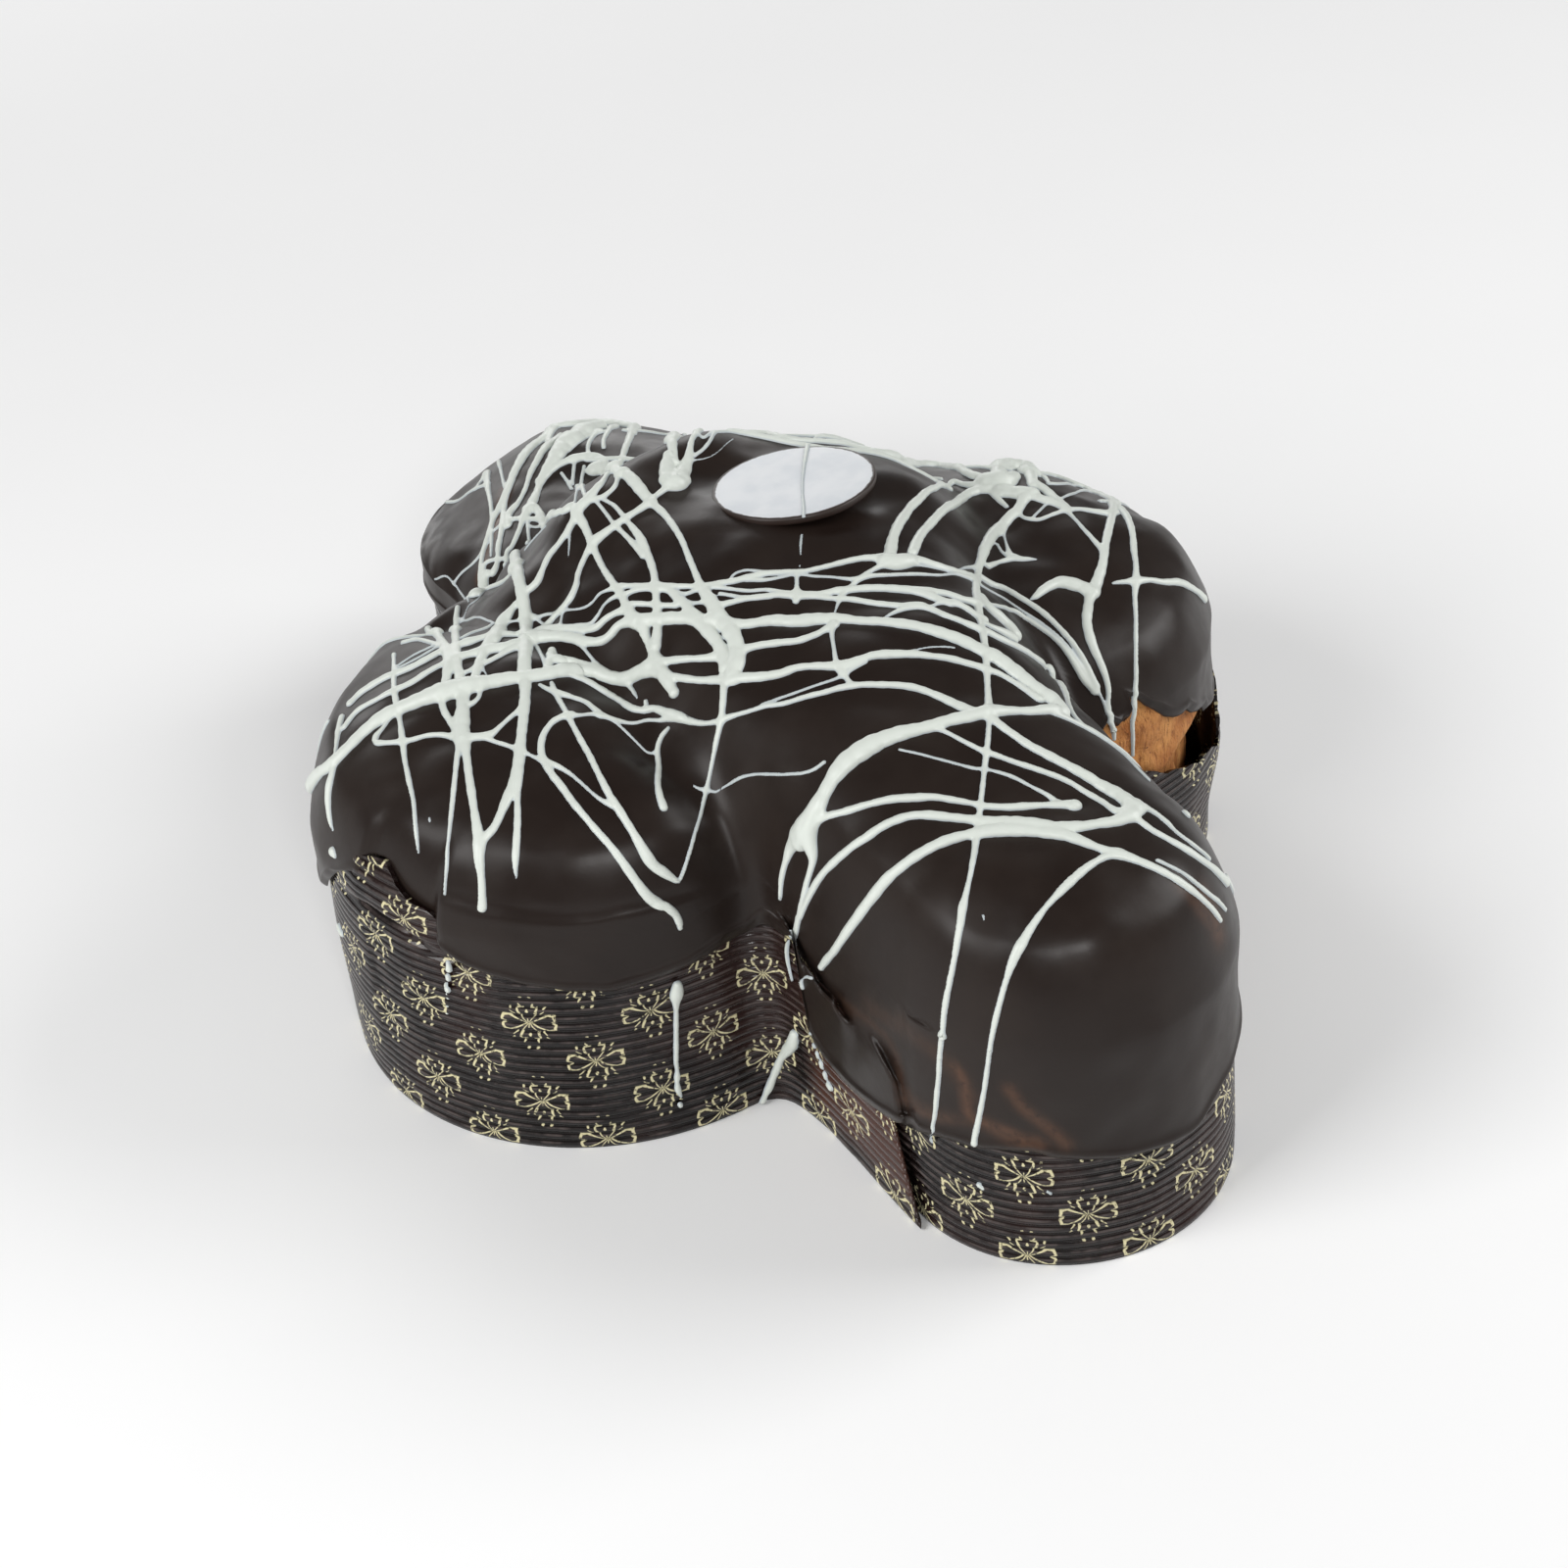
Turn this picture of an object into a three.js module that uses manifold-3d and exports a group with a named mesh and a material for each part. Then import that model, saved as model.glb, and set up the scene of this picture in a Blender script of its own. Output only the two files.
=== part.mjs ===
// A dove-shaped Easter cake in its paper case, coated with dark chocolate and drizzled with white.
// Millimetres, +Z up. The head points to +Y, the tail to -Y, and the wings lie along X.
// The cake stands on z = 0, with the middle of its outline at the origin.

import * as THREE from "three";
import Module from "manifold-3d";
import { mergeVertices } from "three/addons/utils/BufferGeometryUtils.js";

const wasm = await Module();
wasm.setup();

// Heights and thicknesses
const RIM_HEIGHT = 60;
const PAPER_THICKNESS = 0.8;
const CASE_RIM_HEIGHT = 59.7;
const GLAZE_THICKNESS = 1.8;
const SKIRT_THICKNESS = 0.9;
const SKIRT_PROUD = 1.5;
const GLAZE_TUCKED = -1.2;
const CLEARANCE = 0.3;
const CRUST_CLEARANCE = 0.6;

// Shape of the shoulder where the dome turns down to the wall
const SHOULDER = 16;
const EDGE_ROUNDING = 8;
const OUTLINE_BLEND = 4;
const CREST_BLEND = 3;
const CREST_INSET = 26;

// Facets
const COLUMNS = 74;
const CREST_ROWS = 7;
const SHOULDER_ROWS = 4;
const SKIRT_ROWS = 2;
const STRAND_STEP = 9;
const CREST_FOOT = 0.5;
const SKIRT_FOOT = 0.35;

// The outline is the union of four round arms, each a line with a radius at its root and its tip.
const ARMS = [
  { name: "tail", root: [2, -14], tip: [3.2, -103.8], rootRadius: 42, tipRadius: 37.5 },
  { name: "head", root: [2, 26], tip: [2, 98.2], rootRadius: 42, tipRadius: 43 },
  { name: "left wing", root: [1, 8], tip: [-50.5, 7], rootRadius: 55, tipRadius: 60 },
  { name: "right wing", root: [1, 8], tip: [51.9, 2.8], rootRadius: 55, tipRadius: 57.1 },
];

// The dome is the highest of four risen loaves. Height is measured above the rim.
const LOAVES = [
  { root: [2, -14], tip: [3.2, -100.8], rootRadius: 44, tipRadius: 38.5, rootHeight: 43, tipHeight: 32, fullness: 3.4 },
  { root: [2, 66], tip: [2, 97], rootRadius: 41, tipRadius: 43, rootHeight: 21, tipHeight: 19.5, fullness: 2.8 },
  { root: [6, 20], tip: [-48.5, 7.5], rootRadius: 56, tipRadius: 60, rootHeight: 45, tipHeight: 31, fullness: 3.4 },
  { root: [6, 20], tip: [49.9, 2.8], rootRadius: 56, tipRadius: 56, rootHeight: 45, tipHeight: 27, fullness: 3.2 },
];

// Soft folds in the crust, where one loaf meets the next
const FOLDS = [
  { from: [-46, -50], to: [-47, -28], depth: 2.6, width: 9 },
  { from: [-43, -4], to: [-46, 32], depth: 2, width: 10 },
  { from: [62, 6], to: [66, -44], depth: 1.6, width: 9 },
  { from: [-34, 62], to: [36, 62], depth: 2.5, width: 10 },
  { from: [4, 37], to: [32, 37], depth: 2.4, width: 13 },
];

// How far the chocolate runs down the outside of the case, by the angle round the cake.
// Below zero, its edge stays on the dome and the bread shows.
const CHOCOLATE_EDGE = [
  [-180, -8], [-169, -7], [-165, -2], [-160, 7], [-152, 12], [-145, 14], [-132, 11], [-122, 10], [-117, 34],
  [-110, 37], [-104, 29], [-97, 28], [-88, 32], [-79, 26], [-66, 18], [-54, 9], [-46, -3],
  [-39, -6], [-36, -1], [-30, 11], [-22, 19], [-14, 22], [-4, 14], [12, 8], [30, 12],
  [48, 6], [66, 10], [84, 15], [102, 11], [120, 7], [138, 12], [156, 9], [167, 3], [174, -5],
];

// How far the top of the paper has sagged or torn below the rim, by angle.
// Below zero, it stands higher than the rim.
const PAPER_SAG = [
  [-180, -4.3], [-174, -4], [-169, 0], [-54, 0], [-46, 7], [-39, 17], [-34, 22], [-29, 26], [-24, 26], [-18, 28],
  [-11, 18], [-4, 5], [4, 0], [172, 0], [177, -4],
];

// Plaque of chocolate on the crest
const PLAQUE_CENTRE = [18, 18.5];
const PLAQUE_RADIUS = 19;
const PLAQUE_THICKNESS = 2;
const PLAQUE_LEAN = 0.122;

// Thick strands of white chocolate, as points on the plan of the flattened skin
const STRANDS = [
  { width: 2.6, path: [[-111, 15], [-102, 22], [-88, 20], [-70, 14], [-58, 9], [-48, 2], [-43, -7], [-36, -9]] },
  { width: 2.0, path: [[-97, 32], [-90, 31], [-76, 27], [-58, 22], [-40, 22], [-30, 31], [-12, 34]] },
  { width: 2.0, path: [[-96, 36], [-82, 34], [-64, 32], [-50, 33], [-38, 38], [-20, 47], [-9, 55]] },
  { width: 2.0, path: [[-66, 50], [-70, 27], [-79, 8], [-83, -9], [-91, -28], [-96, -32]] },
  { width: 2.2, path: [[-39, 57], [-46, 36], [-59, 9], [-73, -14], [-87, -35]] },
  { width: 2.0, path: [[-50, 18], [-46, 10], [-40, 6], [-34, 2], [-27, -9], [-25, -22], [-28, -30]] },
  { width: 1.8, path: [[-24, 57], [-29, 32], [-33, 10], [-35, -9], [-37, -19]] },
  { width: 2.2, path: [[-9, 55], [-12.5, 24], [-19, -3], [-22, -18], [-28, -30]] },
  { width: 1.8, path: [[-20, -10], [-4, -18], [12, -26], [22, -33], [32, -37]] },
  { width: 2.4, path: [[-20, -16], [-8, -27], [4, -37], [15, -46], [21, -62], [23, -78]] },
  { width: 2.2, path: [[-27, -30], [-16, -40], [-2, -45], [10, -54], [17, -63], [22, -77]] },
  { width: 1.6, path: [[-34, -34], [-20, -47], [-3, -55], [4, -65], [9, -73]] },
  { width: 3.2, path: [[-36, -69], [-24, -67], [-4, -70], [10, -73], [23, -79]] },
  { width: 2.0, path: [[-41, -67], [-36, -64], [-29, -74], [-12, -88], [8, -103]] },
  { width: 2.4, path: [[-46, -92], [-36, -88], [-27, -95], [-8, -100], [4, -109], [13, -114], [21, -111]] },
  { width: 2.2, path: [[21, -111], [20, -101], [13, -86], [9, -74]] },
  { width: 1.8, path: [[2, -108], [8, -120], [17, -127], [28, -131]] },
  { width: 1.6, path: [[9, -120], [-8, -122], [-26, -129], [-39, -157]] },
  { width: 1.6, path: [[43, -18], [22, -52], [-11, -99], [-33, -120], [-46, -151]] },
  { width: 1.8, path: [[20, -18], [33, -4], [50, 10], [60, 19], [69, 14]] },
  { width: 2.2, path: [[26, -17], [41, -2], [56, 11], [69, 13]] },
  { width: 1.8, path: [[20, -19], [38, -19], [50, -9], [65, 0], [74, 7]] },
  { width: 2.4, path: [[64, 42], [66, 28], [70, 14], [75, 0], [76, -7]] },
  { width: 2.0, path: [[82, 32], [76, 18], [82, 8], [90, -8], [71, -38], [64, -52], [68, -60]] },
  { width: 2.2, path: [[89, -5], [74, -23], [61, -36], [55, -45], [56, -54]] },
  { width: 2.0, path: [[-36, 82], [-22, 97], [-6, 113], [8, 125]] },
  { width: 2.2, path: [[-24, 84], [-18, 92], [-2, 108], [16, 122]] },
  { width: 2.2, path: [[6, 58], [-4, 36]] },
];

const DEGREE = Math.PI / 180;
const clamp = (value, low, high) => Math.min(Math.max(value, low), high);
const smooth = (low, high, value) => {
  const t = clamp((value - low) / (high - low), 0, 1);
  return t * t * (3 - 2 * t);
};

// Distance from a point to a line segment, and how far along it the nearest point is
function toSegment(x, y, [ax, ay], [bx, by]) {
  const vx = bx - ax;
  const vy = by - ay;
  const along = clamp(((x - ax) * vx + (y - ay) * vy) / (vx * vx + vy * vy), 0, 1);
  return { distance: Math.hypot(x - ax - along * vx, y - ay - along * vy), along };
}

// Distance outside the case's outline, below zero inside it
function outside(x, y) {
  let sum = 0;
  for (const arm of ARMS) {
    const { distance, along } = toSegment(x, y, arm.root, arm.tip);
    const radius = THREE.MathUtils.lerp(arm.rootRadius, arm.tipRadius, along);
    sum += Math.exp((radius - distance) / OUTLINE_BLEND);
  }
  return -OUTLINE_BLEND * Math.log(sum);
}

// Radius of the outline in one direction from the origin
function outlineRadius(angle) {
  let low = 20;
  let high = 220;
  for (let step = 0; step < 30; step += 1) {
    const middle = (low + high) / 2;
    if (outside(middle * Math.cos(angle), middle * Math.sin(angle)) < 0) low = middle;
    else high = middle;
  }
  return (low + high) / 2;
}

// A smooth value round the cake through pairs of angle in degrees and value
function aroundCake(knots, angle) {
  const degrees = angle / DEGREE;
  const last = knots.length - 1;
  let index = last;
  for (let i = 0; i < last; i += 1) {
    if (degrees >= knots[i][0] && degrees < knots[i + 1][0]) index = i;
  }
  const from = knots[index];
  const to = index === last ? [knots[0][0] + 360, knots[0][1]] : knots[index + 1];
  return THREE.MathUtils.lerp(from[1], to[1], smooth(from[0], to[0], degrees));
}

// Direction out of the wall, square to the outline
function wallNormal(angle) {
  const small = 0.5;
  const x = outlineRadius(angle) * Math.cos(angle);
  const y = outlineRadius(angle) * Math.sin(angle);
  return new THREE.Vector3(
    outside(x + small, y) - outside(x - small, y),
    outside(x, y + small) - outside(x, y - small),
    0,
  ).normalize();
}

// How much longer a step along the radius is than the same step square to the outline
function radialStretch(angle) {
  return 1 / wallNormal(angle).dot(new THREE.Vector3(Math.cos(angle), Math.sin(angle), 0));
}

// Angles that divide the outline into equal lengths
function columnAngles(count) {
  const fine = 1440;
  const point = (i) => {
    const angle = -Math.PI + (2 * Math.PI * i) / fine;
    const radius = outlineRadius(angle);
    return new THREE.Vector2(radius * Math.cos(angle), radius * Math.sin(angle));
  };
  const lengths = [0];
  for (let i = 1; i <= fine; i += 1) {
    lengths.push(lengths[i - 1] + point(i).distanceTo(point(i - 1)));
  }
  const angles = [];
  let i = 0;
  for (let column = 0; column < count; column += 1) {
    const wanted = (lengths[fine] * column) / count;
    while (lengths[i + 1] < wanted) i += 1;
    const part = (wanted - lengths[i]) / (lengths[i + 1] - lengths[i]);
    angles.push(-Math.PI + (2 * Math.PI * (i + part)) / fine);
  }
  return angles;
}

// Each column of facets holds its own values, so that all pieces share the same facets
const ROWS = CREST_ROWS + SHOULDER_ROWS + SKIRT_ROWS;
const columns = columnAngles(COLUMNS).map((angle) => {
  const edge = aroundCake(CHOCOLATE_EDGE, angle);
  const proud = smooth(-4, -1, edge);
  return {
    angle,
    edge,
    proud,
    radius: outlineRadius(angle),
    stretch: radialStretch(angle),
    sag: aroundCake(PAPER_SAG, angle),
  };
});

// Beside a column that is tucked inside the paper, the chocolate stays above the paper
for (const [i, column] of columns.entries()) {
  const before = columns[(i + COLUMNS - 1) % COLUMNS];
  const after = columns[(i + 1) % COLUMNS];
  if (Math.min(before.proud, column.proud, after.proud) < 1) column.edge = Math.min(column.edge, -1);
}

const glazeOffset = (column) => THREE.MathUtils.lerp(GLAZE_TUCKED, SKIRT_PROUD, column.proud);
const radiusWith = (column, offset) => column.radius + offset * column.stretch;

// One of the nested surfaces on a column: its outline, moved square to the wall, and its crest, lowered
function surfaceOf(column, offset, lowered) {
  return {
    ...column,
    offset,
    lowered,
    skinRadius: radiusWith(column, offset),
    rim: rimReach(radiusWith(column, offset)),
    crestEnd: rimReach(radiusWith(column, glazeOffset(column))) - CREST_INSET,
  };
}

const outerSurface = columns.map((column) => surfaceOf(column, glazeOffset(column), 0));
const innerSurface = columns.map((column) => (
  surfaceOf(column, glazeOffset(column) - SKIRT_THICKNESS, GLAZE_THICKNESS)
));
const crustSurface = columns.map((column) => surfaceOf(
  column,
  Math.min(glazeOffset(column) - SKIRT_THICKNESS, -PAPER_THICKNESS) - CRUST_CLEARANCE,
  GLAZE_THICKNESS + CRUST_CLEARANCE,
));

// Height of the dome above the rim
function domeHeight(x, y, offset) {
  let sum = 0;
  for (const loaf of LOAVES) {
    const { distance, along } = toSegment(x, y, loaf.root, loaf.tip);
    const radius = THREE.MathUtils.lerp(loaf.rootRadius, loaf.tipRadius, along);
    const crest = THREE.MathUtils.lerp(loaf.rootHeight, loaf.tipHeight, along * along);
    const share = clamp(distance / (radius * 1.04), 0, 1);
    sum += Math.exp((crest * Math.sqrt(1 - share ** loaf.fullness)) / CREST_BLEND);
  }
  let height = CREST_BLEND * Math.log(sum / 1.6);
  for (const fold of FOLDS) {
    const { distance } = toSegment(x, y, fold.from, fold.to);
    height -= fold.depth * Math.exp(-((distance / fold.width) ** 2));
  }
  const inset = clamp((offset - outside(x, y)) / EDGE_ROUNDING, 0, 1);
  return Math.max(height, 0) * Math.sqrt(1 - (1 - inset) ** 2);
}

// The plan is flattened so that the shoulder and the wall lie outside the crest.
// This is the reach at which the wall begins on it.
function rimReach(radius) {
  return radius - SHOULDER + (SHOULDER * Math.PI) / 2;
}

// A point of a surface, from a reach along one column of the flattened plan
function skinPoint(surface, reach) {
  const { angle, offset, lowered, skinRadius, rim } = surface;
  const turn = clamp((reach - skinRadius + SHOULDER) / SHOULDER, 0, Math.PI / 2);
  const across = Math.min(reach, skinRadius - SHOULDER) + SHOULDER * Math.sin(turn);
  const x = across * Math.cos(angle);
  const y = across * Math.sin(angle);
  const drop = Math.max(reach - rim, 0) + lowered * (1 - smooth(rim - 14, rim - 2, reach));
  return new THREE.Vector3(x, y, RIM_HEIGHT + domeHeight(x, y, offset) - drop);
}

// Direction out of the skin: square to the outline at the wall, and to the dome above it
function skinNormal(surface, reach) {
  if (reach > surface.rim - 1) return wallNormal(surface.angle);
  const small = 0.6;
  const place = Math.max(reach, 2);
  const along = skinPoint(surface, place + small).sub(skinPoint(surface, place - small));
  const side = new THREE.Vector3(-Math.sin(surface.angle), Math.cos(surface.angle), 0);
  const beside = [small, -small].map((step) => {
    const point = skinPoint(surface, place).addScaledVector(side, step);
    return point.setZ(RIM_HEIGHT + domeHeight(point.x, point.y, surface.offset));
  });
  return along.cross(beside[0].sub(beside[1])).normalize();
}

// Reach of each row of facets: even over the crest, closer over the shoulder and down the wall
function rowReach(surface, row) {
  const edge = surface.rim + surface.edge;
  const shoulderEnd = Math.min(surface.rim - 0.8, edge - 1.5);
  if (row <= CREST_ROWS) return (surface.crestEnd * row) / CREST_ROWS;
  const past = row - CREST_ROWS;
  if (past <= SHOULDER_ROWS) {
    return THREE.MathUtils.lerp(surface.crestEnd, shoulderEnd, past / SHOULDER_ROWS);
  }
  return THREE.MathUtils.lerp(shoulderEnd, edge, (past - SHOULDER_ROWS) / SKIRT_ROWS);
}

// The ring of points at one row of facets
const rowRing = (surfaces, row) => surfaces.map((surface) => skinPoint(surface, rowReach(surface, row)));

// A closed skin over rings of equal count, with a point that closes the first and the last ring.
// From the ring "turned" on, the facets are cut along their other diagonal.
function closedLoft(first, rings, last, turned = rings.length) {
  const positions = [first, ...rings.flat(), last].flatMap((point) => point.toArray());
  const count = rings[0].length;
  const at = (ring, i) => 1 + ring * count + (i % count);
  const end = 1 + rings.length * count;
  const index = [];
  for (let i = 0; i < count; i += 1) {
    index.push(0, at(0, i), at(0, i + 1));
    for (let ring = 0; ring + 1 < rings.length; ring += 1) {
      const [a, b] = [at(ring, i), at(ring + 1, i)];
      const [c, d] = [at(ring + 1, i + 1), at(ring, i + 1)];
      if (ring < turned) index.push(a, b, c, a, c, d);
      else index.push(a, b, d, b, c, d);
    }
    index.push(end, at(rings.length - 1, i + 1), at(rings.length - 1, i));
  }
  const geometry = new THREE.BufferGeometry();
  geometry.setAttribute("position", new THREE.Float32BufferAttribute(positions, 3));
  geometry.setIndex(index);
  return geometry;
}

// A level ring inside the outline, or one with a height for each column
function uprightRing(inset, height) {
  return columns.map((column) => {
    const radius = column.radius - inset * column.stretch;
    const z = typeof height === "function" ? height(column) : height;
    return new THREE.Vector3(radius * Math.cos(column.angle), radius * Math.sin(column.angle), z);
  });
}

// Paper case: a flat base and an upright wall
const caseRim = (column) => CASE_RIM_HEIGHT - column.sag;

function paperCase() {
  const rings = [
    uprightRing(PAPER_THICKNESS, PAPER_THICKNESS),
    uprightRing(PAPER_THICKNESS, caseRim),
    uprightRing(0, caseRim),
    uprightRing(0, 0),
  ];
  return closedLoft(new THREE.Vector3(0, 0, PAPER_THICKNESS), rings, new THREE.Vector3(0, 0, 0));
}

// Chocolate: a skin over the dome that turns down outside the paper
function glazeSkin() {
  const outer = [];
  const inner = [];
  for (let row = 1; row <= ROWS; row += 1) {
    outer.push(rowRing(outerSurface, row));
    inner.unshift(rowRing(innerSurface, row));
  }
  const rings = [...outer, ...inner];
  return closedLoft(skinPoint(outerSurface[0], 0), rings, skinPoint(innerSurface[0], 0), ROWS);
}

// Bread: the dome under the chocolate, and a wall inside the paper
function cakeBody() {
  const wallInset = PAPER_THICKNESS + CRUST_CLEARANCE;
  const rings = [];
  for (let row = 1; row <= CREST_ROWS + SHOULDER_ROWS; row += 1) rings.push(rowRing(crustSurface, row));
  rings.push(crustSurface.map((surface) => skinPoint(surface, surface.rim)));
  rings.push(uprightRing(wallInset, CASE_RIM_HEIGHT - 3));
  rings.push(uprightRing(wallInset, PAPER_THICKNESS + CLEARANCE));
  const base = new THREE.Vector3(0, 0, PAPER_THICKNESS + CLEARANCE);
  return closedLoft(skinPoint(crustSurface[0], 0), rings, base);
}

// The faceted skin's own point and normal at a place on the flattened plan, so that strands sit on it
function onSkin(x, y) {
  const angle = Math.atan2(y, x);
  const reach = Math.hypot(x, y);
  let index = COLUMNS - 1;
  while (index > 0 && outerSurface[index].angle > angle) index -= 1;
  const from = outerSurface[index];
  const to = outerSurface[(index + 1) % COLUMNS];
  const turn = index + 1 < COLUMNS ? to.angle - from.angle : to.angle + 2 * Math.PI - from.angle;
  const across = (angle - from.angle) / turn;
  const reachOf = (row) => THREE.MathUtils.lerp(rowReach(from, row), rowReach(to, row), across);
  let row = 0;
  while (row < ROWS - 1 && reachOf(row + 1) < reach) row += 1;
  const part = Math.min((reach - reachOf(row)) / (reachOf(row + 1) - reachOf(row)), 0.98);
  const corner = (surface, step) => skinPoint(surface, rowReach(surface, row + step));
  const inner = corner(from, 0).lerp(corner(to, 0), across);
  const outer = corner(from, 1).lerp(corner(to, 1), across);
  return {
    point: inner.lerp(outer, part),
    normal: skinNormal(from, reach).lerp(skinNormal(to, reach), across).normalize(),
    foot: reach > from.rim - 12 ? SKIRT_FOOT : CREST_FOOT,
  };
}

// A bead of white chocolate with a flat foot, narrow at both ends.
// Its section is given as shares of half its width, with the foot at zero height.
const BEAD_SECTION = [[-1, 0], [1, 0], [0.55, 0.85], [-0.55, 0.85]];

function strand({ width, path }) {
  const knots = path.map(([x, y]) => new THREE.Vector3(x, y, 0));
  const curve = new THREE.CatmullRomCurve3(knots, false, "centripetal");
  const steps = Math.max(3, Math.round(curve.getLength() / STRAND_STEP));
  const places = curve.getSpacedPoints(steps).map(({ x, y }) => onSkin(x, y));
  const rings = places.map(({ point, normal, foot }, i) => {
    const before = places[Math.max(i - 1, 0)].point;
    const after = places[Math.min(i + 1, steps)].point;
    const side = after.clone().sub(before).cross(normal).normalize();
    const half = (width / 2) * (i === 0 || i === steps ? 0.45 : 1);
    return BEAD_SECTION.map(([across, up]) => point
      .clone()
      .addScaledVector(side, across * half)
      .addScaledVector(normal, up > 0 ? up * half : -foot));
  });
  return closedLoft(places[0].point, rings, places[steps].point);
}

// Boolean union of closed geometries
function toSolid(geometry) {
  const merged = mergeVertices(geometry, 1e-4);
  return new wasm.Manifold(new wasm.Mesh({
    numProp: 3,
    vertProperties: new Float32Array(merged.attributes.position.array),
    triVerts: new Uint32Array(merged.index.array),
  }));
}

function toGeometry(solid) {
  const mesh = solid.getMesh();
  const geometry = new THREE.BufferGeometry();
  geometry.setAttribute("position", new THREE.BufferAttribute(mesh.vertProperties, 3));
  geometry.setIndex(new THREE.BufferAttribute(mesh.triVerts, 1));
  return geometry;
}

function glazeWithDrizzle() {
  let solid = toSolid(glazeSkin());
  for (const item of STRANDS) solid = solid.add(toSolid(strand(item)));
  return toGeometry(solid);
}

// Plaque: a thin round biscuit of chocolate that leans back on the crest
function plaque() {
  const bevel = 0.4;
  const profile = [
    new THREE.Vector2(0, 0),
    new THREE.Vector2(PLAQUE_RADIUS - bevel, 0),
    new THREE.Vector2(PLAQUE_RADIUS, bevel),
    new THREE.Vector2(PLAQUE_RADIUS, PLAQUE_THICKNESS - bevel),
    new THREE.Vector2(PLAQUE_RADIUS - bevel, PLAQUE_THICKNESS),
    new THREE.Vector2(0, PLAQUE_THICKNESS),
  ];
  const geometry = new THREE.LatheGeometry(profile, 36);
  geometry.rotateX(Math.PI / 2);
  return geometry;
}

// The plaque rests where its underside just clears the chocolate
function plaqueHeight() {
  let height = 0;
  for (let ring = 0; ring <= 6; ring += 1) {
    for (let spoke = 0; spoke < 24; spoke += 1) {
      const angle = (2 * Math.PI * spoke) / 24;
      const reach = (PLAQUE_RADIUS * ring) / 6;
      const x = PLAQUE_CENTRE[0] + reach * Math.cos(angle);
      const y = PLAQUE_CENTRE[1] + reach * Math.sin(angle);
      const lean = -PLAQUE_LEAN * (y - PLAQUE_CENTRE[1]);
      height = Math.max(height, RIM_HEIGHT + domeHeight(x, y, 0) - lean);
    }
  }
  return height + CLEARANCE;
}

function piece(name, geometry, color, roughness) {
  const mesh = new THREE.Mesh(geometry, new THREE.MeshStandardMaterial({ color, roughness, metalness: 0 }));
  mesh.name = name;
  return mesh;
}

const group = new THREE.Group();
group.add(piece("paper_case", paperCase(), 0x3a2420, 0.5));
group.add(piece("cake", cakeBody(), 0xb9783c, 0.8));
group.add(piece("chocolate_glaze", glazeWithDrizzle(), 0x2a1a15, 0.3));

const disc = piece("chocolate_plaque", plaque(), 0xdfe3e2, 0.4);
disc.position.set(PLAQUE_CENTRE[0], PLAQUE_CENTRE[1], plaqueHeight());
disc.rotation.x = -Math.atan(PLAQUE_LEAN);
group.add(disc);

export default group;
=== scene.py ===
# The dove-shaped cake in its ribbed paper case, with dark coating and white drizzle.
# Shapes are worked out in millimetres in the frame's axes and turned to metres when a mesh is made.

import math

import bpy
import numpy as np
from mathutils import Matrix, Vector


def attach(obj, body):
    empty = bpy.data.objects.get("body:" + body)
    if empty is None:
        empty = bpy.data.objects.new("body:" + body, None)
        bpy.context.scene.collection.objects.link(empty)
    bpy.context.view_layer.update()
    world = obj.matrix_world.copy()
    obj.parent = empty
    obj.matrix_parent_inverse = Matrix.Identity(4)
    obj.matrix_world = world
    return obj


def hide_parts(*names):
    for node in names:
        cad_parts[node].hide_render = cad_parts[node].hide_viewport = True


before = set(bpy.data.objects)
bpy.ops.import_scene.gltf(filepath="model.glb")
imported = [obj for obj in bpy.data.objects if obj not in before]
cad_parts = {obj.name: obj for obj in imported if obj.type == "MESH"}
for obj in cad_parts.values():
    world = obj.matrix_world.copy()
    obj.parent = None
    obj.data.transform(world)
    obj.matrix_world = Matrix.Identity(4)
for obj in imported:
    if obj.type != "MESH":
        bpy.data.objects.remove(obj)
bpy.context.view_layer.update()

MM = 0.001

# Heights and thicknesses, as in the solids
RIM_HEIGHT = 60.0
RIB_PITCH = 2.3
RIB_DEPTH = 0.55
CASE_RIM = 59.7
PAPER_THICKNESS = 0.5
COAT_THICKNESS = 1.4
COAT_TUCKED = -1.2
COAT_PROUD = 1.2
SHOULDER = 16.0
EDGE_ROUNDING = 8.0
OUTLINE_BLEND = 4.0
CREST_BLEND = 3.0
CREST_SHARE = 1.6
LOAF_STRETCH = 1.04
LOAF_SPREAD = 2.4
CREST_MARGIN = 26.0

# The outline is the union of four arms: root, tip, root radius and tip radius
ARMS = (
    ((2, -14), (3.2, -103.8), 42, 37.5),
    ((2, 26), (2, 98.2), 42, 43),
    ((1, 8), (-50.5, 7), 55, 60),
    ((1, 8), (51.9, 2.8), 55, 57.1),
)

# The dome is the highest of four loaves: root, tip, radii, heights above the rim and fullness
LOAVES = (
    ((2, -14), (3.2, -100.8), 44, 38.5, 43, 32, 3.4),
    ((2, 66), (2, 97), 41, 43, 21, 19.5, 2.8),
    ((6, 20), (-48.5, 7.5), 56, 60, 45, 31, 3.4),
    ((6, 20), (49.9, 2.8), 56, 56, 45, 27, 3.2),
)

# Soft folds and hollows of the crust: from, to, depth and width
FOLDS = (
    ((-45, -50), (-48, -28), 3.2, 6),
    ((-48, -26), (-43, -4), 1.6, 7),
    ((-43, -4), (-45, 28), 2.2, 7),
    ((-46, 26), (-52, 38), 1.5, 6),
    ((62, 6), (66, -44), 1.6, 8),
    ((-34, 62), (36, 62), 2.5, 9),
    ((4, 37), (32, 37), 2.4, 13),
    ((-44, -80), (-40, -102), 1.4, 7),
)

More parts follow.
